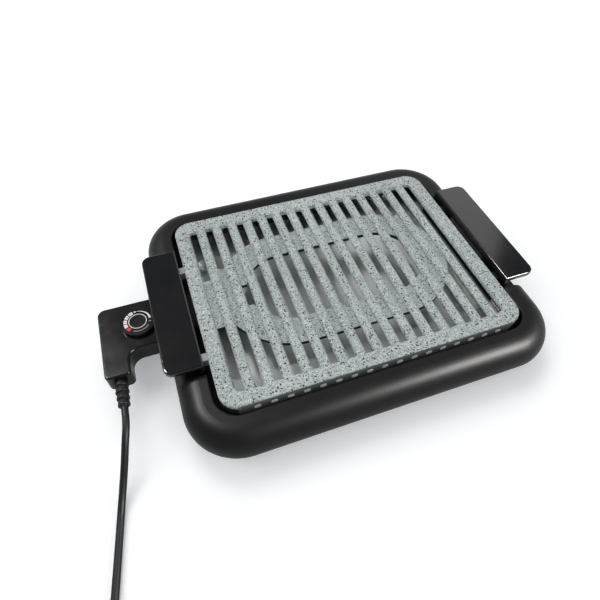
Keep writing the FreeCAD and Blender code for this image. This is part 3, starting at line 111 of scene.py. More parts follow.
# %% Draw the lead
LEAD_SIZE = 7 * MM
LEAD_EXIT = Vector((-258, -88.5, 42.5)) * MM
LEAD_STEPS = [
    (0, 0, 0),
    (0, -15, 0),
    (-4, -31, -4),
    (-9.5, -46, -15.5),
    (-15.8, -61, -28),
    (-21.8, -78, -37),
    (-26.6, -101, -38.8),
    (-31.2, -126, -38.5),
    (-36.2, -152, -38.3),
    (-41.5, -180, -37.9),
    (-45.5, -204, -37.9),
]
COIL_RADII = [44.5, 40.65, 36.8, 32.95, 29.1, 32.95, 36.8, 40.65]
COIL_CLIMB_TURN = 4
COIL_CLIMB = 7.6
POINTS_PER_HALF = 7
TAIL_STEPS = [(14, 0.0), (30, 0.45), (46, 1.0), (60, 1.0)]
TAIL_RISE = 6.3

lead_points = [LEAD_EXIT + Vector(step) * MM for step in LEAD_STEPS]
lead_ahead = (lead_points[-1] - lead_points[-2]).normalized()
lead_aside = Vector((lead_ahead.y, -lead_ahead.x, 0))
coil_start = lead_points[-1]


def coil_points(start):
    """Half turns of changing radius, alternately to one side and back, up one layer midway."""
    points = []
    here = start + lead_ahead * LEAD_SIZE
    step = math.pi / POINTS_PER_HALF
    outside = 1 / math.cos(step / 2)
    for count, radius in enumerate(COIL_RADII):
        way = 1 if count % 2 == 0 else -1
        rise = COIL_CLIMB if count == COIL_CLIMB_TURN else 0
        centre = here + lead_aside * (radius * way * MM)
        for k in range(POINTS_PER_HALF):
            angle = (k + 0.5) * step
            spoke = -lead_aside * math.cos(angle) + lead_ahead * math.sin(angle)
            lift = Vector((0, 0, rise * angle / math.pi))
            points.append(centre + (spoke * (radius * outside * way) + lift) * MM)
        here = centre + (lead_aside * (radius * way) + Vector((0, 0, rise))) * MM
    return points, here + lead_ahead * LEAD_SIZE


turns, coil_end = coil_points(coil_start)
tail = [coil_end]
for distance, share in TAIL_STEPS:
    tail.append(coil_end + lead_ahead * (distance * MM) + Vector((0, 0, share * TAIL_RISE * MM)))
lead_points += turns + tail

lead_curve = bpy.data.curves.new("power_lead", "CURVE")
lead_curve.dimensions = "3D"
lead_curve.bevel_depth = LEAD_SIZE / 2
lead_curve.bevel_resolution = 6
lead_curve.resolution_u = 8
lead_curve.use_fill_caps = True
spline = lead_curve.splines.new("NURBS")
spline.points.add(len(lead_points) - 1)
for point, place in zip(spline.points, lead_points):
    point.co = (*place, 1.0)
spline.order_u = 3
spline.use_endpoint_u = True
power_lead = link_object("power_lead", lead_curve)
print("lead points:", len(lead_points), "measured:", round(spline.calc_length(), 4), "m")

# %% [markdown]
# ## Floor
#
# A studio stands such an appliance on a wide white sheet, lit to the edge of white, so that only soft
# shadows show. Here the sheet is one flat square just under the feet. Its paint alone would render
# pale grey, so it has a weak glow of its own, which the camera and mirror images see and which lights
# nothing else. The glow grows with distance, because the lamps don't reach that far, and so the floor
# is white up to the horizon. The helpers that most node trees share come first.

# %% Helpers for nodes


def add_node(tree, kind, inputs=None, **settings):
    """A node with its settings and its unlinked inputs filled in."""
    node = tree.nodes.new(kind)
    for name, value in settings.items():
        setattr(node, name, value)
    for name, value in (inputs or {}).items():
        node.inputs[name].default_value = value
    return node


def sum_up(tree, operation, first, second=0.0):
    """One step of arithmetic on two sockets or numbers."""
    node = add_node(tree, "ShaderNodeMath", operation=operation)
    for socket, value in zip(node.inputs, (first, second)):
        if isinstance(value, (int, float)):
            socket.default_value = value
        else:
            tree.links.new(value, socket)
    return node.outputs[0]


def map_value(tree, value, low, high, to_low, to_high):
    """A value moved from one range to another, kept inside it."""
    remap = add_node(tree, "ShaderNodeMapRange", {1: low, 2: high, 3: to_low, 4: to_high})
    tree.links.new(value, remap.inputs[0])
    return remap.outputs[0]


def rgba(red, green, blue):
    """A colour as the sockets want it."""
    return (red, green, blue, 1.0)


def colour_ramp(tree, value, stops):
    """Colours or greys along a value from 0 to 1."""
    ramp = add_node(tree, "ShaderNodeValToRGB")
    band = ramp.color_ramp
    while len(band.elements) < len(stops):
        band.elements.new(0.5)
    for element, (position, colour) in zip(band.elements, stops):
        element.position = position
        element.color = rgba(*colour)
    tree.links.new(value, ramp.inputs["Fac"])
    return ramp.outputs["Color"]


def object_place(tree):
    """Where a point lies on the object, in metres."""
    return add_node(tree, "ShaderNodeTexCoord").outputs["Object"]


def new_finish(name):
    """An empty material with one principled shader."""
    material = bpy.data.materials.new(name)
    material.use_nodes = True
    tree = material.node_tree
    tree.nodes.clear()
    shader = add_node(tree, "ShaderNodeBsdfPrincipled")
    output = add_node(tree, "ShaderNodeOutputMaterial")
    tree.links.new(shader.outputs["BSDF"], output.inputs["Surface"])
    return material, tree, shader


print("node helpers ready")

# %% Make the floor
FLOOR_HALF = 9.0
FLOOR_DROP = 0.0002
FLOOR_PAINT = (0.93, 0.935, 0.94)
GLOW_COLOUR = (0.97, 0.99, 1.0)
NEAR_GLOW = 0.21
FAR_GLOW = 0.8
GLOW_RISES_FROM = 0.8
GLOW_RISES_TO = 2.4

floor_mesh = bpy.data.meshes.new("floor")
corner_signs = [(-1, -1), (1, -1), (1, 1), (-1, 1)]
floor_corners = [(x * FLOOR_HALF, y * FLOOR_HALF, -FLOOR_DROP) for x, y in corner_signs]
floor_mesh.from_pydata(floor_corners, [], [(0, 1, 2, 3)])
floor = link_object("floor", floor_mesh)

floor_finish, tree, shader = new_finish("white_sweep")
shader.inputs["Base Color"].default_value = rgba(*FLOOR_PAINT)
shader.inputs["Roughness"].default_value = 0.9
shader.inputs["Specular IOR Level"].default_value = 0.0
shader.inputs["Emission Color"].default_value = rgba(*GLOW_COLOUR)
ray = add_node(tree, "ShaderNodeLightPath").outputs
mirror_ray = sum_up(tree, "MAXIMUM", ray["Is Glossy Ray"], ray["Is Transmission Ray"])
looked_at = sum_up(tree, "MAXIMUM", ray["Is Camera Ray"], mirror_ray)
far = add_node(tree, "ShaderNodeVectorMath", operation="LENGTH")
tree.links.new(object_place(tree), far.inputs[0])
glow = map_value(tree, far.outputs["Value"], GLOW_RISES_FROM, GLOW_RISES_TO, NEAR_GLOW, FAR_GLOW)
seen_glow = sum_up(tree, "MULTIPLY", looked_at, glow)
tree.links.new(seen_glow, shader.inputs["Emission Strength"])
floor_mesh.materials.append(floor_finish)
print("floor", 2 * FLOOR_HALF, "m wide")

# %% [markdown]
# ## Light
#
# The shadows in the photograph are pale and soft, so the light comes from large panels above. Four of
# them serve matt surfaces alone, at a level at which a colour renders about as it is written. Gloss
# needs small bright panels to mirror: one at the front right draws the highlight along the front of
# the base, one behind on the left draws the one on the left corner, and a weak one beyond the right
# handle, which serves matt too, brightens the top of that handle. The small panel at the front right
# stands a little nearer than the large one on the same line, because two panels in one place spoil
# each other's highlight. The world is a plain sky, pale at the horizon and darker overhead, so gloss
# has something to show from every side.

# %% Make the sky
HORIZON = (0.89, 0.95, 1.0)
HORIZON_ENDS = 0.10
OVERHEAD = (0.15, 0.165, 0.185)
OVERHEAD_STARTS = 0.58

world = bpy.data.worlds.new("studio")
bpy.context.scene.world = world
world.use_nodes = True
tree = world.node_tree
tree.nodes.clear()
sky_place = add_node(tree, "ShaderNodeTexCoord")
sky_split = add_node(tree, "ShaderNodeSeparateXYZ")
tree.links.new(sky_place.outputs["Generated"], sky_split.inputs[0])
sky_stops = [(HORIZON_ENDS, HORIZON), (OVERHEAD_STARTS, OVERHEAD)]
sky_colour = colour_ramp(tree, sky_split.outputs["Z"], sky_stops)
sky = add_node(tree, "ShaderNodeBackground", {"Strength": 1.0})
sky_out = add_node(tree, "ShaderNodeOutputWorld")
tree.links.new(sky_colour, sky.inputs["Color"])
tree.links.new(sky.outputs[0], sky_out.inputs["Surface"])
bpy.context.scene.view_settings.view_transform = "Standard"
print("world:", world.name)

# %% Hang the panels
CENTRE = (0, 0, 0)
FRONT_CREST = (0.1, -0.15, 0.04)
LEFT_CORNER = (-0.19, -0.125, 0.05)
RIGHT_HANDLE = (0.195, 0, 0.064)
WARM = (1.0, 0.975, 0.945)
NEUTRAL = (1.0, 0.99, 0.98)
# Each panel: its name, its place, the point it faces, width, height, watts, colour, what it serves
PANELS = [
    ("back_panel", (-0.2, 1.1, 1.9), CENTRE, 1.2, 1.0, 17, NEUTRAL, "matt"),
    ("left_panel", (-1.5, 0.3, 1.75), CENTRE, 1.0, 1.0, 8.5, NEUTRAL, "matt"),
    ("front_panel", (-0.75, -0.9, 1.6), CENTRE, 1.6, 1.2, 9.5, NEUTRAL, "matt"),
    ("right_panel", (0.94, -0.825, 1.075), FRONT_CREST, 0.9, 0.9, 3, WARM, "matt"),
    ("right_glow", (0.89, -0.785, 1.013), FRONT_CREST, 0.5, 0.35, 94, WARM, "gloss"),
    ("left_glow", (-0.98, 0.73, 1.68), LEFT_CORNER, 0.35, 0.35, 64, NEUTRAL, "gloss"),
    ("handle_glow", (0.88, 1.03, 1.05), RIGHT_HANDLE, 0.82, 0.8, 2.9, NEUTRAL, "both"),
]
for name, place, target, width, height, watts, colour, serves in PANELS:
    lamp = bpy.data.lights.new(name, "AREA")
    lamp.shape = "RECTANGLE"
    lamp.size = width
    lamp.size_y = height
    lamp.energy = watts
    lamp.color = colour
    holder = link_object(name, lamp)
    holder.location = place
    aim = Vector(target) - Vector(place)
    holder.rotation_euler = aim.to_track_quat("-Z", "Y").to_euler()
    holder.visible_diffuse = serves != "gloss"
    holder.visible_glossy = serves != "matt"
    print(name, watts, "W for", serves)

# %% [markdown]
# ## Finishes
#
# A finish is a small tree of shader nodes. An image would need every piece to be unwrapped first, so
# the patterns are worked out in space instead. They read Object coordinates, which are metres here, so
# a scale of 400 gives cells of 2.5 mm on every piece. Helpers make what many finishes share: soft
# noise, a blend of two colours, a bump and random specks.

# %% Helpers for the finishes
# Most of the noise lies in this range, and a dot's edge fades over this part of its cell
NOISE_RANGE = (0.3, 0.7)
DOT_EDGE = (-0.03, 0.05)


def soft_noise(tree, place, scale, detail=2.0, roughness=0.5):
    """Cloudy values round 0.5, with the given number of clouds in a metre."""
    settings = {"Scale": scale, "Detail": detail, "Roughness": roughness}
    noise = add_node(tree, "ShaderNodeTexNoise", settings)
    tree.links.new(place, noise.inputs["Vector"])
    return noise.outputs["Fac"]


def two_tones(tree, noise, dark, light):
    """From a dark tone to a light one along the noise."""
    return colour_ramp(tree, noise, list(zip(NOISE_RANGE, (dark, light))))


def blend_colours(tree, factor, first, second):
    """The first colour where the factor is 0, the second where it is 1."""
    mix = add_node(tree, "ShaderNodeMix", data_type="RGBA")
    tree.links.new(factor, mix.inputs["Factor"])
    for socket, colour in ((mix.inputs[6], first), (mix.inputs[7], second)):
        if isinstance(colour, tuple):
            socket.default_value = rgba(*colour)
        else:
            tree.links.new(colour, socket)
    return mix.outputs[2]


def add_bump(tree, shader, height, strength, depth):
    """Small relief, with its depth in metres."""
    bump = add_node(tree, "ShaderNodeBump", {"Strength": strength, "Distance": depth})
    tree.links.new(height, bump.inputs["Height"])
    tree.links.new(bump.outputs["Normal"], shader.inputs["Normal"])


def specks(tree, place, per_metre, share, smallest, largest, offset):
    """Random dots: 1 inside a dot and 0 between. A share of the cells hold one, of varied size."""
    step = (offset, offset * 0.7, offset * 1.3)
    shift = add_node(tree, "ShaderNodeVectorMath", {1: step}, operation="ADD")
    tree.links.new(place, shift.inputs[0])
    cells = add_node(tree, "ShaderNodeTexVoronoi", {"Scale": per_metre})
    tree.links.new(shift.outputs[0], cells.inputs["Vector"])
    pick = add_node(tree, "ShaderNodeSeparateColor")
    tree.links.new(cells.outputs["Color"], pick.inputs[0])
    chosen = sum_up(tree, "GREATER_THAN", pick.outputs[0], 1 - share)
    size = map_value(tree, pick.outputs[1], 0.0, 1.0, smallest, largest)
    reach = sum_up(tree, "MULTIPLY", size, chosen)
    inside = sum_up(tree, "SUBTRACT", reach, cells.outputs["Distance"])
    return map_value(tree, inside, *DOT_EDGE, 0.0, 1.0)


print("finish helpers ready")

# %% [markdown]
# ### Stone-like coating
#
# The plate is cast aluminium under a pale grey non-stick coat, sprayed with dark and light flecks
# that are 0.5 to 2 mm across. Painting an image would not wrap round the bars, so the flecks are
# cells of a Voronoi pattern in space: only some cells get a dot, and each dot has its own size.

# %% Speckled plate finish
GROUND_DARK = (0.480, 0.521, 0.512)
GROUND_LIGHT = (0.570, 0.611, 0.600)
MOTTLE = (0.235, 0.262, 0.262)
COAT_ROUGH = (0.62, 0.78)
COAT_GLOSS = 0.04
# Each spray: cells in a metre, share of cells, smallest and largest dot, offset, cover, colour
SPRAYS = [
    (560, 0.40, 0.22, 0.44, 0.37, 0.80, (0.78, 0.81, 0.80)),
    (600, 0.58, 0.24, 0.46, 0.11, 0.86, (0.080, 0.092, 0.094)),
    (340, 0.50, 0.18, 0.40, 0.00, 0.94, (0.030, 0.036, 0.038)),
]

stone, tree, shader = new_finish("stone_coating")
place = object_place(tree)
cloud = soft_noise(tree, place, 14, detail=3)
coat = colour_ramp(tree, cloud, [(0.32, GROUND_DARK), (0.68, GROUND_LIGHT)])
mottle = soft_noise(tree, place, 640, detail=4, roughness=0.65)
coat = blend_colours(tree, map_value(tree, mottle, 0.42, 0.60, 0.0, 0.72), coat, MOTTLE)
for per_metre, share, smallest, largest, offset, cover, colour in SPRAYS:
    dots = specks(tree, place, per_metre, share, smallest, largest, offset)
    coat = blend_colours(tree, map_value(tree, dots, 0.0, 1.0, 0.0, cover), coat, colour)
sheen = soft_noise(tree, place, 900, detail=2)
tree.links.new(map_value(tree, sheen, *NOISE_RANGE, *COAT_ROUGH), shader.inputs["Roughness"])
shader.inputs["Specular IOR Level"].default_value = COAT_GLOSS
add_bump(tree, shader, mottle, 0.35, 0.0002)
print("finish:", stone.name, "with", len(SPRAYS), "sprays")

# %% [markdown]
# The floor between the bars is painted a little darker, as painted shade between the ridges, and the
# skirt under the rim is painted dark, as painted shade. Below that floor, inside the skirt, the colour
# is near black.
# The studs along the front stand 0.8 mm proud; they are painted near white, both as rubbed pale and as
# a painted highlight that they catch. Each of these is a range of height or depth, so masks made from
# the
# Object coordinates pick them out, and the plate stays one piece.

# %% Painted shade and highlight on the coat
BAR_TOP = 0.0558
FIELD_TOP = 0.0523
FIELD_PAINTED_SHADE = (0.16, 0.178, 0.176)
SKIRT_TOP = 0.0566
SKIRT_FOOT = 0.0552
SKIRT_EDGE_Y = 0.1303
SKIRT_FACE_Y = 0.1309
SKIRT_PAINTED_SHADE = (0.12, 0.128, 0.122)
STUD_FOOT_Y = -0.1312
STUD_TOP_Y = -0.1316
STUD_WEAR_AND_HIGHLIGHT = (0.95, 0.96, 0.92)
UNDER_FLOOR_TOP = 0.0519
UNDER_FLOOR_FOOT = 0.0514
UNDER_FLOOR_BLACK = (0.030, 0.032, 0.031)

plate_split = add_node(tree, "ShaderNodeSeparateXYZ")
tree.links.new(place, plate_split.inputs[0])
_, plate_y, plate_z = plate_split.outputs
outward = sum_up(tree, "ABSOLUTE", plate_y)
# Painted shade: the floor between the bars is darker, as if the ridges shaded it.
field_shade_mask = map_value(tree, plate_z, FIELD_TOP, BAR_TOP, 0.24, 0.0)
coat = blend_colours(tree, field_shade_mask, coat, FIELD_PAINTED_SHADE)
# Painted shade: the skirt under the rim is dark.
on_face = map_value(tree, outward, SKIRT_EDGE_Y, SKIRT_FACE_Y, 0.0, 0.9)
under_rim = map_value(tree, plate_z, SKIRT_TOP, SKIRT_FOOT, 0.0, 1.0)
coat = blend_colours(tree, sum_up(tree, "MULTIPLY", on_face, under_rim), coat, SKIRT_PAINTED_SHADE)
# The studs are painted near white: partly rubbed pale, partly a painted highlight.
on_studs = map_value(tree, plate_y, STUD_FOOT_Y, STUD_TOP_Y, 0.0, 0.9)
coat = blend_colours(tree, on_studs, coat, STUD_WEAR_AND_HIGHLIGHT)
# Below the floor between the bars, inside the skirt, the colour is near black.
below = map_value(tree, plate_z, UNDER_FLOOR_TOP, UNDER_FLOOR_FOOT, 0.0, 1.0)
inside = map_value(tree, outward, SKIRT_FACE_Y, SKIRT_EDGE_Y, 0.0, 1.0)
coat = blend_colours(tree, sum_up(tree, "MULTIPLY", below, inside), coat, UNDER_FLOOR_BLACK)
tree.links.new(coat, shader.inputs["Base Color"])
print("finish:", stone.name, len(tree.nodes), "nodes")

# %% [markdown]
# ### Moulded finishes
#
# The base is satin black plastic with a fine moulded grain, the handles are gloss black without one,
# and the control is between the two. The lead's skin and the feet are softer, the contact blocks are
# brown phenolic and the bushes are white ceramic. One builder serves them all, because they differ
# only in colour, in gloss and in the grain.

# %% Moulded finishes


def moulded_finish(name, dark, light, rough, gloss, grain=None):
    """Two tones, uneven gloss and perhaps a grain: how many in a metre, how strong and how deep."""
    material, tree, shader = new_finish(name)
    place = object_place(tree)
    tone = two_tones(tree, soft_noise(tree, place, 30, detail=3), dark, light)
    tree.links.new(tone, shader.inputs["Base Color"])
    patch = soft_noise(tree, place, 55, detail=4)
    tree.links.new(map_value(tree, patch, *NOISE_RANGE, *rough), shader.inputs["Roughness"])
    shader.inputs["Specular IOR Level"].default_value = gloss
    if grain:
        per_metre, strength, depth = grain
        add_bump(tree, shader, soft_noise(tree, place, per_metre, detail=1), strength, depth)
    print("finish:", material.name)
    return material


base_black = moulded_finish(
    "base_plastic",
    dark=(0.005, 0.005, 0.005),
    light=(0.0075, 0.0072, 0.0072),
    rough=(0.41, 0.44),
    gloss=0.14,
    grain=(800, 0.8, 0.00012),
)
handle_black = moulded_finish(
    "gloss_black",
    dark=(0.006, 0.0058, 0.0058),
    light=(0.009, 0.0085, 0.0085),
    rough=(0.11, 0.15),
    gloss=0.5,
)
control_black = moulded_finish(
    "control_black",
    dark=(0.006, 0.006, 0.006),
    light=(0.009, 0.0088, 0.0085),
    rough=(0.20, 0.28),
    gloss=0.14,
    grain=(1800, 0.12, 0.00006),
)
lead_black = moulded_finish(
    "soft_black",
    dark=(0.009, 0.009, 0.010),
    light=(0.014, 0.014, 0.015),
    rough=(0.42, 0.55),
    gloss=0.14,
    grain=(1200, 0.2, 0.0001),
)
foot_rubber = moulded_finish(
    "rubber",
    dark=(0.018, 0.018, 0.018),
    light=(0.028, 0.028, 0.028),
    rough=(0.7, 0.85),
    gloss=0.3,
    grain=(1400, 0.4, 0.0002),
)
block_brown = moulded_finish(
    "block_phenolic",
    dark=(0.08, 0.035, 0.015),
    light=(0.12, 0.055, 0.025),
    rough=(0.45, 0.6),
    gloss=0.4,
    grain=(700, 0.3, 0.0002),
)
ceramic_white = moulded_finish(
    "white_ceramic",
    dark=(0.70, 0.68, 0.63),
    light=(0.80, 0.79, 0.75),
    rough=(0.5, 0.65),
    gloss=0.4,
    grain=(1100, 0.25, 0.00015),
)

# %% [markdown]
# ### Metals
#
# The tray is thin rolled aluminium, so its noise is stretched along X like the marks of the rolls.
# The other metals are the same idea with their own colour and wear.

# %% Metal finishes
LINE_DEPTH = 0.0001


def worked_metal(name, dark, light, rough, stretch, relief, metallic=1.0):
    """Metal with fine drawn lines: noise that is squeezed in some directions."""
    material, tree, shader = new_finish(name)
    mapping = add_node(tree, "ShaderNodeMapping", {"Scale": stretch})
    tree.links.new(object_place(tree), mapping.inputs["Vector"])
    lines = soft_noise(tree, mapping.outputs["Vector"], 1.0, detail=5, roughness=0.6)
    tree.links.new(two_tones(tree, lines, dark, light), shader.inputs["Base Color"])
    tree.links.new(map_value(tree, lines, *NOISE_RANGE, *rough), shader.inputs["Roughness"])
    shader.inputs["Metallic"].default_value = metallic
    add_bump(tree, shader, lines, relief, LINE_DEPTH)
    print("finish:", material.name)
    return material


tray_metal = worked_metal(
    "tray_aluminium",
    dark=(0.78, 0.80, 0.79),
    light=(0.84, 0.86, 0.85),
    rough=(0.30, 0.35),
    stretch=(40, 260, 260),
    relief=0.003,
)
cast_metal = worked_metal(
    "cast_aluminium",
    dark=(0.38, 0.39, 0.39),
    light=(0.52, 0.53, 0.53),
    rough=(0.45, 0.62),
    stretch=(700, 700, 700),
    relief=0.4,
)
loop_steel = worked_metal(
    "element_steel",
    dark=(0.16, 0.15, 0.145),
    light=(0.30, 0.29, 0.28),
    rough=(0.38, 0.55),
    stretch=(300, 300, 300),
    relief=0.2,
)
# Near white and half matt, so these parts read bright under any lamp: a painted reflection standing in
# for their glints.
bright_steel = worked_metal(
    "bright_steel",
    dark=(0.86, 0.86, 0.85),
    light=(0.94, 0.94, 0.93),
    rough=(0.20, 0.30),
    stretch=(1500, 200, 1500),
    relief=0.1,
    metallic=0.45,
)
screw_zinc = worked_metal(
    "screw_steel",
    dark=(0.50, 0.50, 0.50),
    light=(0.66, 0.66, 0.65),
    rough=(0.28, 0.42),
    stretch=(900, 900, 900),
    relief=0.15,
)
contact_brass = worked_metal(
    "brass",
    dark=(0.60, 0.44, 0.17),
    light=(0.76, 0.58, 0.27),
    rough=(0.24, 0.36),
    stretch=(1200, 200, 200),
    relief=0.1,
)
pin_nickel = worked_metal(
    "pin_metal",
    dark=(0.68, 0.67, 0.64),
    light=(0.78, 0.77, 0.75),
    rough=(0.14, 0.24),
    stretch=(200, 200, 1500),
    relief=0.08,
)

# %% [markdown]
# The tray's front ledge is made partly matt, most of all on its left, and matt metal scatters light,
# so the ledge reads lit there. The rear and the right end are kept more mirror-like, showing the dark
# underside of the plate, so they read dark. This is painted light and shade, set through the shader's
# metal share. It has no edge, so masks made from the Object coordinates move the shader from metal to
# matt.

# %% Paint light and shade on the tray through its metal share
LEDGE_FOOT = 0.0280
LEDGE_TOP = 0.0292
LEDGE_LIT_SHARE = 0.62
FRONT_FROM_Y = -0.02
FRONT_TO_Y = -0.06
LEFT_TO_X = 0.06
RIGHT_FROM_X = 0.11
RIGHT_SHARE = 0.1
REAR_FROM_Y = 0.03
REAR_TO_Y = 0.085
FRONT_MIRROR = 0.80
REAR_MIRROR = 0.97
END_FROM_X = 0.04
END_TO_X = 0.12
END_GAIN = 0.2

tree = tray_metal.node_tree
tray_split = add_node(tree, "ShaderNodeSeparateXYZ")
tree.links.new(object_place(tree), tray_split.inputs[0])
tray_x, tray_y, tray_z = tray_split.outputs
# Painted light: the front ledge is matt on its left so it reads lit; the right and the rear stay
# mirror-like and read dark.
on_ledge = map_value(tree, tray_z, LEDGE_FOOT, LEDGE_TOP, 0.0, LEDGE_LIT_SHARE)
at_front = map_value(tree, tray_y, FRONT_FROM_Y, FRONT_TO_Y, 0.0, 1.0)
at_left = map_value(tree, tray_x, LEFT_TO_X, RIGHT_FROM_X, 1.0, RIGHT_SHARE)
painted_lit_share = sum_up(tree, "MULTIPLY", on_ledge, sum_up(tree, "MULTIPLY", at_front, at_left))
mirror = map_value(tree, tray_y, REAR_FROM_Y, REAR_TO_Y, FRONT_MIRROR, REAR_MIRROR)
gain = map_value(tree, tray_x, END_FROM_X, END_TO_X, 0.0, END_GAIN)
painted_mirror_share = sum_up(tree, "MINIMUM", sum_up(tree, "ADD", mirror, gain), 1.0)
shader = tree.nodes["Principled BSDF"]
tree.links.new(sum_up(tree, "SUBTRACT", painted_mirror_share, painted_lit_share), shader.inputs["Metallic"])
print("finish:", tray_metal.name, len(tree.nodes), "nodes")

# %% [markdown]
# ### Which solid wears which finish
#
# A moulded, stamped or cast piece has one finish all over, so each solid wears one. A list of finishes
# with their solids is shorter than a line for each solid, and what is left bare is easy to print.

# %% Dress the solids
WEARS = [
    (stone, "grill_plate"),
    (base_black, "base_shell bottom_cover"),
    (handle_black, "left_handle right_handle"),
    (control_black, "control_lower_housing control_upper_housing terminal_guard dial_knob dial_face"),
    (tray_metal, "drip_tray"),
    (cast_metal, "element_clamps"),
    (loop_steel, "heating_element"),
    (bright_steel, "left_front_spacer left_rear_spacer right_front_spacer right_rear_spacer"),
    (bright_steel, "terminal_pin_front terminal_pin_rear temperature_probe bimetal_blade dial_shaft"),
    (screw_zinc, "clamp_screws left_handle_screws right_handle_screws handle_nuts"),
    (screw_zinc, "bottom_screws housing_screws"),
    (ceramic_white, "insulator_front insulator_rear"),
    (block_brown, "contact_block switch_block"),
    (contact_brass, "contact_front contact_rear contact_blade"),
    (lead_black, "strain_relief power_cord cord_coil cord_tail cord_tie plug_body"),
    (foot_rubber, "foot_front_left foot_front_right foot_rear_left foot_rear_right"),
    (pin_nickel, "plug_pins"),
]


def wear(thing, finish):
    """One finish all over a piece."""
    thing.data.materials.clear()
    thing.data.materials.append(finish)


bare = set(solids)
for finish, names in WEARS:
    for name in names.split():
        wear(solids[name], finish)
        bare.discard(name)
print("dressed", len(solids) - len(bare), "of", len(solids), "solids; left bare:", sorted(bare))

# %% [markdown]
# ## Small pieces that repeat
#
# Screws, ribs, dial marks and grip rings are copies of one shape, or one shape that follows a rule,
# so they are made with Geometry Nodes. Each tree has named inputs for its sizes. It works in
# millimetres, because cutting one mesh with another is steadier at that size, and it shrinks the
# result to metres at the end.

# %% Helpers for the node trees
SOCKET_KINDS = {int: "NodeSocketInt", float: "NodeSocketFloat", tuple: "NodeSocketVector"}
SHARP_ANGLE = math.radians(32)


def new_shape_tree(name, inputs):
    """An empty tree with a geometry input, the named inputs at their defaults, and a finish."""
    tree = bpy.data.node_groups.new(name, "GeometryNodeTree")
    tree.interface.new_socket("Geometry", in_out="INPUT", socket_type="NodeSocketGeometry")
    for label, default in inputs.items():
        kind = SOCKET_KINDS[type(default)]
        socket = tree.interface.new_socket(label, in_out="INPUT", socket_type=kind)
        socket.default_value = default
    tree.interface.new_socket("Finish", in_out="INPUT", socket_type="NodeSocketMaterial")
    tree.interface.new_socket("Geometry", in_out="OUTPUT", socket_type="NodeSocketGeometry")
    return tree, add_node(tree, "NodeGroupInput").outputs


def wired(tree, kind, links, inputs=None, **settings):
    """A node whose inputs are linked to the given outputs."""
    node = add_node(tree, kind, inputs, **settings)
    for name, source in links.items():
        tree.links.new(source, node.inputs[name])
    return node


def vector_of(tree, x=0.0, y=0.0, z=0.0):
    """A vector from three sockets or numbers."""
    node = add_node(tree, "ShaderNodeCombineXYZ")
    for socket, value in zip(node.inputs, (x, y, z)):
        if isinstance(value, (int, float)):
            socket.default_value = value
        else:
            tree.links.new(value, socket)
    return node.outputs[0]


def end_tree(tree, shape, finish):
    """Make copies real, keep hard edges hard, shrink to metres and give the finish."""
    real = wired(tree, "GeometryNodeRealizeInstances", {0: shape})
    soft = wired(tree, "GeometryNodeSetShadeSmooth", {0: real.outputs[0]}, {"Shade Smooth": True})
    angle = add_node(tree, "GeometryNodeInputMeshEdgeAngle").outputs[0]
    hard = sum_up(tree, "GREATER_THAN", angle, SHARP_ANGLE)
    edged = wired(
        tree,
        "GeometryNodeSetShadeSmooth",
        {0: soft.outputs[0], "Selection": hard},
        {"Shade Smooth": False},
        domain="EDGE",
    )
    small = wired(tree, "GeometryNodeTransform", {0: edged.outputs[0]}, {"Scale": (MM, MM, MM)})
    dressed_shape = wired(tree, "GeometryNodeSetMaterial", {0: small.outputs[0], "Material": finish})
    wired(tree, "NodeGroupOutput", {0: dressed_shape.outputs[0]})


def moved(tree, node, place):
    """What a node makes, moved by a vector."""
    return wired(tree, "GeometryNodeTransform", {0: node.outputs[0], "Translation": place})


def run_tree(name, tree, finish, values, points=()):
    """Run a tree and keep the result as a plain mesh. Points carry a place and an aim."""
    start = bpy.data.meshes.new(name)
    start.from_pydata([place for place, _ in points], [], [])
    aims = start.attributes.new("aim", "FLOAT_VECTOR", "POINT")
    for slot, (_, aim) in zip(aims.data, points):
        slot.vector = aim
    thing = link_object(name, start)
    modifier = thing.modifiers.new("shape", "NODES")
    modifier.node_group = tree
    taken = [item for item in tree.interface.items_tree if item.in_out == "INPUT"]
    sockets = {item.name: item.identifier for item in taken}
    for label, value in {**values, "Finish": finish}.items():
        modifier[sockets[label]] = value
    made = thing.evaluated_get(bpy.context.evaluated_depsgraph_get())
    mesh = bpy.data.meshes.new_from_object(made)
    thing.modifiers.clear()
    thing.data = mesh
    print(name, len(mesh.polygons), "faces")
    return thing


print("tree helpers ready")

# %% [markdown]
# ### Screws
#
# The cover, the control, the handles and the clamps are held by pan-head screws with a cross recess.
# A screw is a disc, kept only where it lies inside a large ball so that its top is domed, with a cross
# cut into it and a shank below. The tree sets one copy on each point, aims it along the point's own
# direction and gives it a turn of its own, as a screwdriver leaves it.

# %% Screw tree
BALL_SHARE = 0.9
screw_tree, given = new_shape_tree(
    "pan_head_screws",
    {
        "Head Size": 6.5,
        "Head Height": 1.8,
        "Shank Size": 3.0,
        "Shank Length": 8.0,
        "Recess Length": 3.6,
        "Recess Width": 0.8,
        "Recess Depth": 1.1,
        "Seed": 3,
    },
)
half_head = sum_up(screw_tree, "DIVIDE", given["Head Size"], 2.0)
disc = wired(
    screw_tree,
    "GeometryNodeMeshCylinder",
    {"Radius": half_head, "Depth": given["Head Height"]},
    {"Vertices": 28},
)
half_height = sum_up(screw_tree, "DIVIDE", given["Head Height"], 2.0)
raised = moved(screw_tree, disc, vector_of(screw_tree, z=half_height))
ball_radius = sum_up(screw_tree, "MULTIPLY", given["Head Size"], BALL_SHARE)
ball = wired(
    screw_tree,
    "GeometryNodeMeshUVSphere",
    {"Radius": ball_radius},
    {"Segments": 56, "Rings": 44},
)
ball_height = sum_up(screw_tree, "SUBTRACT", given["Head Height"], ball_radius)
lowered = moved(screw_tree, ball, vector_of(screw_tree, z=ball_height))
domed = wired(screw_tree, "GeometryNodeMeshBoolean", {}, operation="INTERSECT", solver="EXACT")
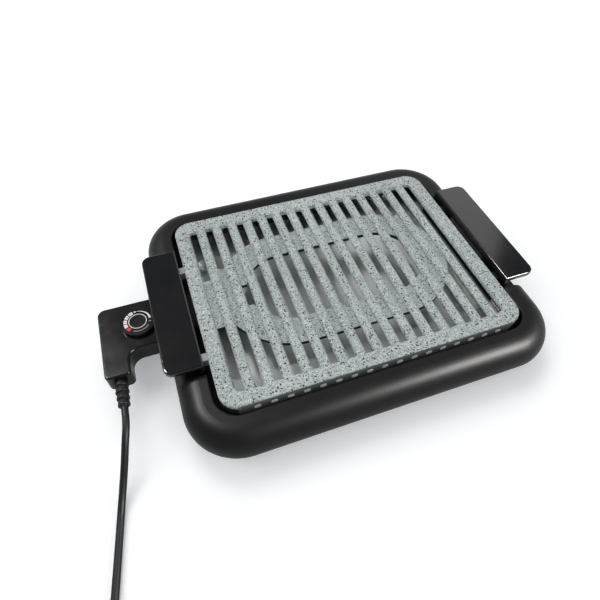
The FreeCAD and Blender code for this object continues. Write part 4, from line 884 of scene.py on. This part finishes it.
for operand in (raised, lowered):
    screw_tree.links.new(operand.outputs[0], domed.inputs["Mesh 2"])
twice_deep = sum_up(screw_tree, "MULTIPLY", given["Recess Depth"], 2.0)
recessed = wired(
    screw_tree,
    "GeometryNodeMeshBoolean",
    {0: domed.outputs[0]},
    operation="DIFFERENCE",
    solver="EXACT",
)
long_side = given["Recess Length"]
short_side = given["Recess Width"]
for x_side, y_side in ((long_side, short_side), (short_side, long_side)):
    arm_size = vector_of(screw_tree, x_side, y_side, twice_deep)
    arm = wired(screw_tree, "GeometryNodeMeshCube", {"Size": arm_size})
    arm_up = moved(screw_tree, arm, vector_of(screw_tree, z=given["Head Height"]))
    screw_tree.links.new(arm_up.outputs[0], recessed.inputs["Mesh 2"])
half_shank = sum_up(screw_tree, "DIVIDE", given["Shank Size"], 2.0)
shank = wired(
    screw_tree,
    "GeometryNodeMeshCylinder",
    {"Radius": half_shank, "Depth": given["Shank Length"]},
    {"Vertices": 16},
)
shank_middle = sum_up(screw_tree, "DIVIDE", given["Shank Length"], -2.0)
shank_down = moved(screw_tree, shank, vector_of(screw_tree, z=shank_middle))
whole = add_node(screw_tree, "GeometryNodeJoinGeometry")
for operand in (recessed, shank_down):
    screw_tree.links.new(operand.outputs[0], whole.inputs[0])
aim = add_node(
    screw_tree, "GeometryNodeInputNamedAttribute", {"Name": "aim"}, data_type="FLOAT_VECTOR"
)
heading = wired(
    screw_tree, "FunctionNodeAlignRotationToVector", {"Vector": aim.outputs[0]}, axis="Z"
)
copies = wired(
    screw_tree,
    "GeometryNodeInstanceOnPoints",
    {"Points": given["Geometry"], "Instance": whole.outputs[0], "Rotation": heading.outputs[0]},
)
chance = wired(
    screw_tree, "FunctionNodeRandomValue", {"Seed": given["Seed"]}, {2: 0.0, 3: math.pi / 2}
)
spun = wired(
    screw_tree,
    "GeometryNodeRotateInstances",
    {0: copies.outputs[0], "Rotation": vector_of(screw_tree, z=chance.outputs[1])},
)
end_tree(screw_tree, spun.outputs[0], given["Finish"])
print("tree:", screw_tree.name, len(screw_tree.nodes), "nodes")

# %% Set the screws
DOWN = (0, 0, -1)
COVER_UNDERSIDE = 9.5
COVER_SCREWS = [(110, 143.5), (182.5, 110)]
CASE_UNDERSIDE = 31.0
CASE_SCREWS = [(-263, 20), (-221, 20), (-263, -24)]
CLAMP_UNDERSIDE = 37.25
CLAMP_X = 40
CLAMP_RADIUS = 63.5
CLAMP_STEP = 5.8
FASCIA_OUTSIDE = 179.5
LUG_SPAN = 62
LUG_CENTRE = 43.5

cover_places = []
for sx in (-1, 1):
    for sy in (-1, 1):
        for x, y in COVER_SCREWS:
            cover_places.append(((sx * x, sy * y, COVER_UNDERSIDE), DOWN))
case_places = [((x, y, CASE_UNDERSIDE), DOWN) for x, y in CASE_SCREWS]
clamp_places = [
    ((x, side * CLAMP_RADIUS + way * CLAMP_STEP, CLAMP_UNDERSIDE), DOWN)
    for x in (-CLAMP_X, CLAMP_X)
    for side in (-1, 1)
    for way in (-1, 1)
]
CLAMP_SIZES = {
    "Head Size": 4.3,
    "Head Height": 1.44,
    "Shank Size": 2.4,
    "Recess Length": 2.4,
    "Recess Width": 0.55,
    "Recess Depth": 0.8,
}
HANDLE_SIZES = {"Head Size": 6.65, "Head Height": 2.1, "Shank Size": 3.5, "Shank Length": 15.9}
SCREW_SETS = [
    ("cover_screws", "bottom_screws", "base", cover_places, {}),
    ("case_screws", "housing_screws", "control", case_places, {}),
    ("loop_clamp_screws", "clamp_screws", "plate", clamp_places, CLAMP_SIZES),
]
for side_name, side in (("left", -1), ("right", 1)):
    outer = side * FASCIA_OUTSIDE
    places = [((outer, end * LUG_SPAN, LUG_CENTRE), (side, 0, 0)) for end in (-1, 1)]
    pair = (f"{side_name}_grip_screws", f"{side_name}_handle_screws")
    SCREW_SETS.append((*pair, "plate", places, HANDLE_SIZES))
for name, node, body, places, sizes in SCREW_SETS:
    screws = run_tree(name, screw_tree, screw_zinc, sizes, places)
    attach(screws, body)
    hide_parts(node)

# %% [markdown]
# ### Cable sleeve
#
# Where the lead leaves the control, a soft sleeve keeps it from bending sharply. It is a row of
# collars that get smaller towards the lead, each one flaring slowly and then dropping to a groove.
# That is a radius that depends on the distance along a line, so the tree draws one collar as a curve,
# repeats it along the line and sweeps a circle of that radius.

# %% Sleeve tree
sleeve_tree, given = new_shape_tree(
    "cable_sleeve",
    {
        "Length": 28.5,
        "Root Size": 14.6,
        "Tip Size": 11.8,
        "Collars": 4,
        "Groove": 1.9,
        "Neck Size": 11.9,
        "Neck Length": 2.4,
        "Place": (0.0, 0.0, 0.0),
    },
)
sleeve_start = vector_of(sleeve_tree, y=given["Neck Length"])
sleeve_end = vector_of(sleeve_tree, y=sum_up(sleeve_tree, "MULTIPLY", given["Length"], -1.0))
ends = {"Start": sleeve_start, "End": sleeve_end}
line = wired(sleeve_tree, "GeometryNodeCurvePrimitiveLine", ends)
fine_line = wired(sleeve_tree, "GeometryNodeResampleCurve", {0: line.outputs[0]}, {"Count": 180})
along = add_node(sleeve_tree, "GeometryNodeSplineParameter").outputs["Length"]
outside = sum_up(sleeve_tree, "SUBTRACT", along, given["Neck Length"])
share = sum_up(sleeve_tree, "DIVIDE", outside, given["Length"])
phase = sum_up(sleeve_tree, "FRACT", sum_up(sleeve_tree, "MULTIPLY", share, given["Collars"]))
collar = wired(sleeve_tree, "ShaderNodeFloatCurve", {"Value": phase})
COLLAR_SHAPE = [
    (0.0, 0.30),
    (0.12, 0.55),
    (0.55, 0.92),
    (0.72, 1.0),
    (0.80, 0.9),
    (0.86, 0.1),
    (1.0, 0.0),
]
collar_curve = collar.mapping.curves[0]
while len(collar_curve.points) < len(COLLAR_SHAPE):
    collar_curve.points.new(0.5, 0.5)
for point, place in zip(collar_curve.points, COLLAR_SHAPE):
    point.location = place
    point.handle_type = "VECTOR"
collar.mapping.update()
size_drop = sum_up(sleeve_tree, "SUBTRACT", given["Tip Size"], given["Root Size"])
dropped = sum_up(sleeve_tree, "MULTIPLY", size_drop, share)
half_size = sum_up(
    sleeve_tree, "DIVIDE", sum_up(sleeve_tree, "ADD", given["Root Size"], dropped), 2.0
)
missing = sum_up(sleeve_tree, "SUBTRACT", 1.0, collar.outputs[0])
groove_here = sum_up(sleeve_tree, "MULTIPLY", given["Groove"], missing)
rib_radius = sum_up(sleeve_tree, "SUBTRACT", half_size, groove_here)
neck_radius = sum_up(sleeve_tree, "DIVIDE", given["Neck Size"], 2.0)
beyond = sum_up(sleeve_tree, "GREATER_THAN", outside, 0.05)
wider = sum_up(sleeve_tree, "SUBTRACT", rib_radius, neck_radius)
radius_step = sum_up(sleeve_tree, "MULTIPLY", beyond, wider)
radius_here = sum_up(sleeve_tree, "ADD", neck_radius, radius_step)
ring = add_node(sleeve_tree, "GeometryNodeCurvePrimitiveCircle", {"Resolution": 40, "Radius": 1.0})
swept = wired(
    sleeve_tree,
    "GeometryNodeCurveToMesh",
    {"Curve": fine_line.outputs[0], "Profile Curve": ring.outputs[0], "Scale": radius_here},
    {"Fill Caps": True},
)
set_down = moved(sleeve_tree, swept, given["Place"])
end_tree(sleeve_tree, set_down.outputs[0], given["Finish"])

SLEEVE_ROOT = (-258.0, -60.0, 42.5)
cable_sleeve = run_tree("cable_sleeve", sleeve_tree, lead_black, {"Place": SLEEVE_ROOT})
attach(cable_sleeve, "control")
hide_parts("strain_relief")

# %% [markdown]
# ### Dial print
#
# The dial's face carries a white ring, four white steps numbered 1 to 4, a red mark for off, a white
# wedge that grows round the rim, and two grey marks. Print is flat, so each mark is a slab 0.05 mm
# high. One tree bends a box into part of a ring whose width changes from one end to the other, and
# every mark is that tree with other numbers.

# %% Print finishes
INK_ROUGH = (0.36, 0.48)
INK_GLOSS = 0.12


def print_ink(name, dark, light):
    """Screen-printed ink: one colour, a little uneven."""
    material, tree, shader = new_finish(name)
    patch = soft_noise(tree, object_place(tree), 900, detail=3)
    tone = colour_ramp(tree, patch, [(0.35, dark), (0.65, light)])
    tree.links.new(tone, shader.inputs["Base Color"])
    tree.links.new(map_value(tree, patch, *NOISE_RANGE, *INK_ROUGH), shader.inputs["Roughness"])
    shader.inputs["Specular IOR Level"].default_value = INK_GLOSS
    print("finish:", material.name)
    return material


white_ink = print_ink("white_ink", (0.72, 0.72, 0.70), (0.84, 0.84, 0.82))
grey_ink = print_ink("grey_ink", (0.22, 0.22, 0.22), (0.30, 0.30, 0.30))
red_ink = print_ink("red_ink", (0.52, 0.03, 0.02), (0.64, 0.05, 0.035))
digit_ink = print_ink("digit_ink", (0.010, 0.010, 0.011), (0.016, 0.016, 0.017))

# %% Mark tree
mark_tree, given = new_shape_tree(
    "ring_mark",
    {
        "Radius": 9.0,
        "First Angle": 0.0,
        "Sweep": 90.0,
        "First Width": 1.0,
        "Last Width": 1.0,
        "Thickness": 0.05,
        "Place": (0.0, 0.0, 0.0),
    },
)
slab = add_node(mark_tree, "GeometryNodeMeshCube", {"Size": (1, 1, 1), "Vertices X": 40})
here = add_node(mark_tree, "GeometryNodeInputPosition").outputs[0]
split = wired(mark_tree, "ShaderNodeSeparateXYZ", {0: here})
turned = sum_up(mark_tree, "SUBTRACT", 0.5, split.outputs[0])
part_turn = sum_up(mark_tree, "MULTIPLY", given["Sweep"], turned)
angle = sum_up(mark_tree, "RADIANS", sum_up(mark_tree, "ADD", given["First Angle"], part_turn))
growth = sum_up(mark_tree, "SUBTRACT", given["Last Width"], given["First Width"])
grown = sum_up(mark_tree, "MULTIPLY", growth, turned)
width = sum_up(mark_tree, "ADD", given["First Width"], grown)
off_line = sum_up(mark_tree, "MULTIPLY", width, split.outputs[1])
reach = sum_up(mark_tree, "ADD", given["Radius"], off_line)
level = sum_up(mark_tree, "ADD", split.outputs[2], 0.5)
bent = vector_of(
    mark_tree,
    sum_up(mark_tree, "MULTIPLY", reach, sum_up(mark_tree, "COSINE", angle)),
    sum_up(mark_tree, "MULTIPLY", reach, sum_up(mark_tree, "SINE", angle)),
    sum_up(mark_tree, "MULTIPLY", given["Thickness"], level),
)
curved = wired(mark_tree, "GeometryNodeSetPosition", {0: slab.outputs[0], "Position": bent})
laid = moved(mark_tree, curved, given["Place"])
end_tree(mark_tree, laid.outputs[0], given["Finish"])
print("tree:", mark_tree.name, len(mark_tree.nodes), "nodes")

# %% Print the dial
DIAL_CENTRE = (-230.0, -3.0, 59.42)
STEP_ANGLES = [194.0, 169.0, 143.5, 118.0]
STEP_SWEEP = 20.0
STEP_RADIUS = 12.75
STEP_WIDTH = 3.6
# Each mark: its name, its ink, radius, first angle, sweep, width at the first and at the last end
DIAL_MARKS = [
    ("dial_ring", white_ink, 9.1, 0.0, 360.0, 0.7, 0.7),
    ("dial_off_mark", red_ink, 12.6, 210.0, 18.0, 4.0, 4.0),
    ("dial_wedge", white_ink, 12.9, 2.0, 84.0, 2.2, 0.4),
    ("dial_wedge_start", white_ink, 12.9, 89.0, 11.0, 0.3, 2.2),
    ("dial_tick", grey_ink, 12.9, -19.0, 6.0, 2.2, 2.2),
    ("dial_lower_arc", grey_ink, 12.9, -117.0, 81.0, 0.9, 0.9),
]
for count, middle in enumerate(STEP_ANGLES, start=1):
    first = middle - STEP_SWEEP / 2
    step_sizes = (STEP_RADIUS, first, STEP_SWEEP, STEP_WIDTH, STEP_WIDTH)
    DIAL_MARKS.append((f"dial_step_{count}", white_ink, *step_sizes))
for name, ink, radius, first, sweep, first_width, last_width in DIAL_MARKS:
    sizes = {
        "Radius": radius,
        "First Angle": first,
        "Sweep": sweep,
        "First Width": first_width,
        "Last Width": last_width,
        "Place": DIAL_CENTRE,
    }
    mark = run_tree(name, mark_tree, ink, sizes)
    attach(mark, "dial")

# %% [markdown]
# The four numbers are text. Text is a curve, so it is made a mesh first, and then the mesh is turned
# and moved onto its step, with its foot towards the middle of the dial.

# %% Number the steps
DIGIT_SIZE = 3.4 * MM
DIGIT_HALF_THICK = 0.03 * MM
DIGIT_LIFT = Vector((0, 0, 0.06 * MM))

for count, middle in enumerate(STEP_ANGLES, start=1):
    letters = bpy.data.curves.new(f"digit_{count}", "FONT")
    letters.body = str(count)
    letters.size = DIGIT_SIZE
    letters.align_x = "CENTER"
    letters.align_y = "CENTER"
    letters.extrude = DIGIT_HALF_THICK
    draft = link_object(f"digit_{count}_draft", letters)
    drawn = draft.evaluated_get(bpy.context.evaluated_depsgraph_get())
    digit_mesh = bpy.data.meshes.new_from_object(drawn)
    bpy.data.objects.remove(draft)
    spoke = math.radians(middle)
    spot = Vector(DIAL_CENTRE) + Vector((math.cos(spoke), math.sin(spoke), 0)) * STEP_RADIUS
    upright = Matrix.Rotation(spoke - math.pi / 2, 4, "Z")
    digit_mesh.transform(Matrix.Translation(spot * MM + DIGIT_LIFT) @ upright)
    digit = link_object(f"dial_digit_{count}", digit_mesh)
    wear(digit, digit_ink)
    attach(digit, "dial")
print("digits:", len(STEP_ANGLES))

# %% [markdown]
# ### Plug rings and coil tie
#
# The plug is pulled by its waist, where a few soft rings give grip. They are copies of one ring on a
# line, each scaled to the plug's own taper. The coil is held by a flat tie: a rounded rectangle that a
# thin strip follows.

# %% Plug rings
grip_tree, given = new_shape_tree(
    "plug_rings",
    {
        "Rings": 5,
        "First Radius": 12.0,
        "Last Radius": 16.4,
        "Run": 10.0,
        "Ring Size": 1.6,
        "Start": 16.0,
        "Place": (0.0, 0.0, 0.0),
        "Turn": 0.0,
    },
)
gaps = sum_up(grip_tree, "SUBTRACT", given["Rings"], 1.0)
spacing = sum_up(grip_tree, "DIVIDE", given["Run"], gaps)
back = sum_up(grip_tree, "MULTIPLY", spacing, -1.0)
first_at = sum_up(grip_tree, "MULTIPLY", given["Start"], -1.0)
row = wired(
    grip_tree,
    "GeometryNodeMeshLine",
    {
        "Count": given["Rings"],
        "Start Location": vector_of(grip_tree, y=first_at),
        "Offset": vector_of(grip_tree, y=back),
    },
)
circle = add_node(
    grip_tree, "GeometryNodeCurvePrimitiveCircle", {"Resolution": 64, "Radius": 1.0}
)
bead_radius = sum_up(grip_tree, "DIVIDE", given["Ring Size"], given["First Radius"])
bead = wired(
    grip_tree,
    "GeometryNodeCurvePrimitiveCircle",
    {"Radius": sum_up(grip_tree, "DIVIDE", bead_radius, 2.0)},
    {"Resolution": 10},
)
ring_mesh = wired(
    grip_tree,
    "GeometryNodeCurveToMesh",
    {"Curve": circle.outputs[0], "Profile Curve": bead.outputs[0]},
)
UPRIGHT = {"Rotation": (math.pi / 2, 0, 0)}
standing = wired(grip_tree, "GeometryNodeTransform", {0: ring_mesh.outputs[0]}, UPRIGHT)
number = add_node(grip_tree, "GeometryNodeInputIndex").outputs[0]
step_share = sum_up(grip_tree, "DIVIDE", number, gaps)
widening = sum_up(grip_tree, "SUBTRACT", given["Last Radius"], given["First Radius"])
widened = sum_up(grip_tree, "MULTIPLY", widening, step_share)
ring_radius = sum_up(grip_tree, "ADD", given["First Radius"], widened)
rings = wired(
    grip_tree,
    "GeometryNodeInstanceOnPoints",
    {"Points": row.outputs[0], "Instance": standing.outputs[0], "Scale": ring_radius},
)
placed = wired(
    grip_tree,
    "GeometryNodeTransform",
    {
        0: rings.outputs[0],
        "Translation": given["Place"],
        "Rotation": vector_of(grip_tree, z=given["Turn"]),
    },
)
end_tree(grip_tree, placed.outputs[0], given["Finish"])
plug_turn = math.atan2(lead_ahead.x, -lead_ahead.y)
plug_place = tuple(lead_points[-1] / MM)
plug_sizes = {"Place": plug_place, "Turn": plug_turn}
plug_grip = run_tree("plug_grip", grip_tree, lead_black, plug_sizes)
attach(plug_grip, "control")

# %% Coil tie
tie_tree, given = new_shape_tree(
    "coil_tie",
    {
        "Breadth": 17.4,
        "Height": 15.9,
        "Corner": 4.2,
        "Strip Width": 5.6,
        "Strip Thickness": 0.7,
        "Place": (0.0, 0.0, 0.0),
        "Turn": 0.0,
    },
)
outline = wired(
    tie_tree,
    "GeometryNodeCurvePrimitiveQuadrilateral",
    {"Width": given["Breadth"], "Height": given["Height"]},
)
rounded = wired(
    tie_tree,
    "GeometryNodeFilletCurve",
    {0: outline.outputs[0], "Radius": given["Corner"]},
    {"Count": 8},
    mode="POLY",
)
strip = wired(
    tie_tree,
    "GeometryNodeCurvePrimitiveQuadrilateral",
    {"Width": given["Strip Thickness"], "Height": given["Strip Width"]},
)
band = wired(
    tie_tree,
    "GeometryNodeCurveToMesh",
    {"Curve": rounded.outputs[0], "Profile Curve": strip.outputs[0]},
)
upright_band = wired(tie_tree, "GeometryNodeTransform", {0: band.outputs[0]}, UPRIGHT)
tied = wired(
    tie_tree,
    "GeometryNodeTransform",
    {
        0: upright_band.outputs[0],
        "Translation": given["Place"],
        "Rotation": vector_of(tie_tree, z=given["Turn"]),
    },
)
end_tree(tie_tree, tied.outputs[0], given["Finish"])
TIE_RADIUS = 36.4
coil_middle = (coil_start + lead_ahead * LEAD_SIZE) / MM + lead_aside * COIL_RADII[0]
tie_middle = coil_middle - lead_ahead * TIE_RADIUS + Vector((0, 0, COIL_CLIMB / 2))
tie_turn = math.atan2(lead_ahead.y, lead_ahead.x)
tie_sizes = {"Place": tuple(tie_middle), "Turn": tie_turn}
coil_tie = run_tree("coil_tie", tie_tree, lead_black, tie_sizes)
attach(coil_tie, "control")
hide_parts("cord_tie")

# %% [markdown]
# ## The lead rides with the control
#
# The lead was drawn first. Now it gets its finish and rides with the control, and the lead pieces of
# the pack are hidden.

# %% Give the lead its finish
wear(power_lead, lead_black)
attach(power_lead, "control")
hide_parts("power_cord", "cord_coil", "cord_tail")
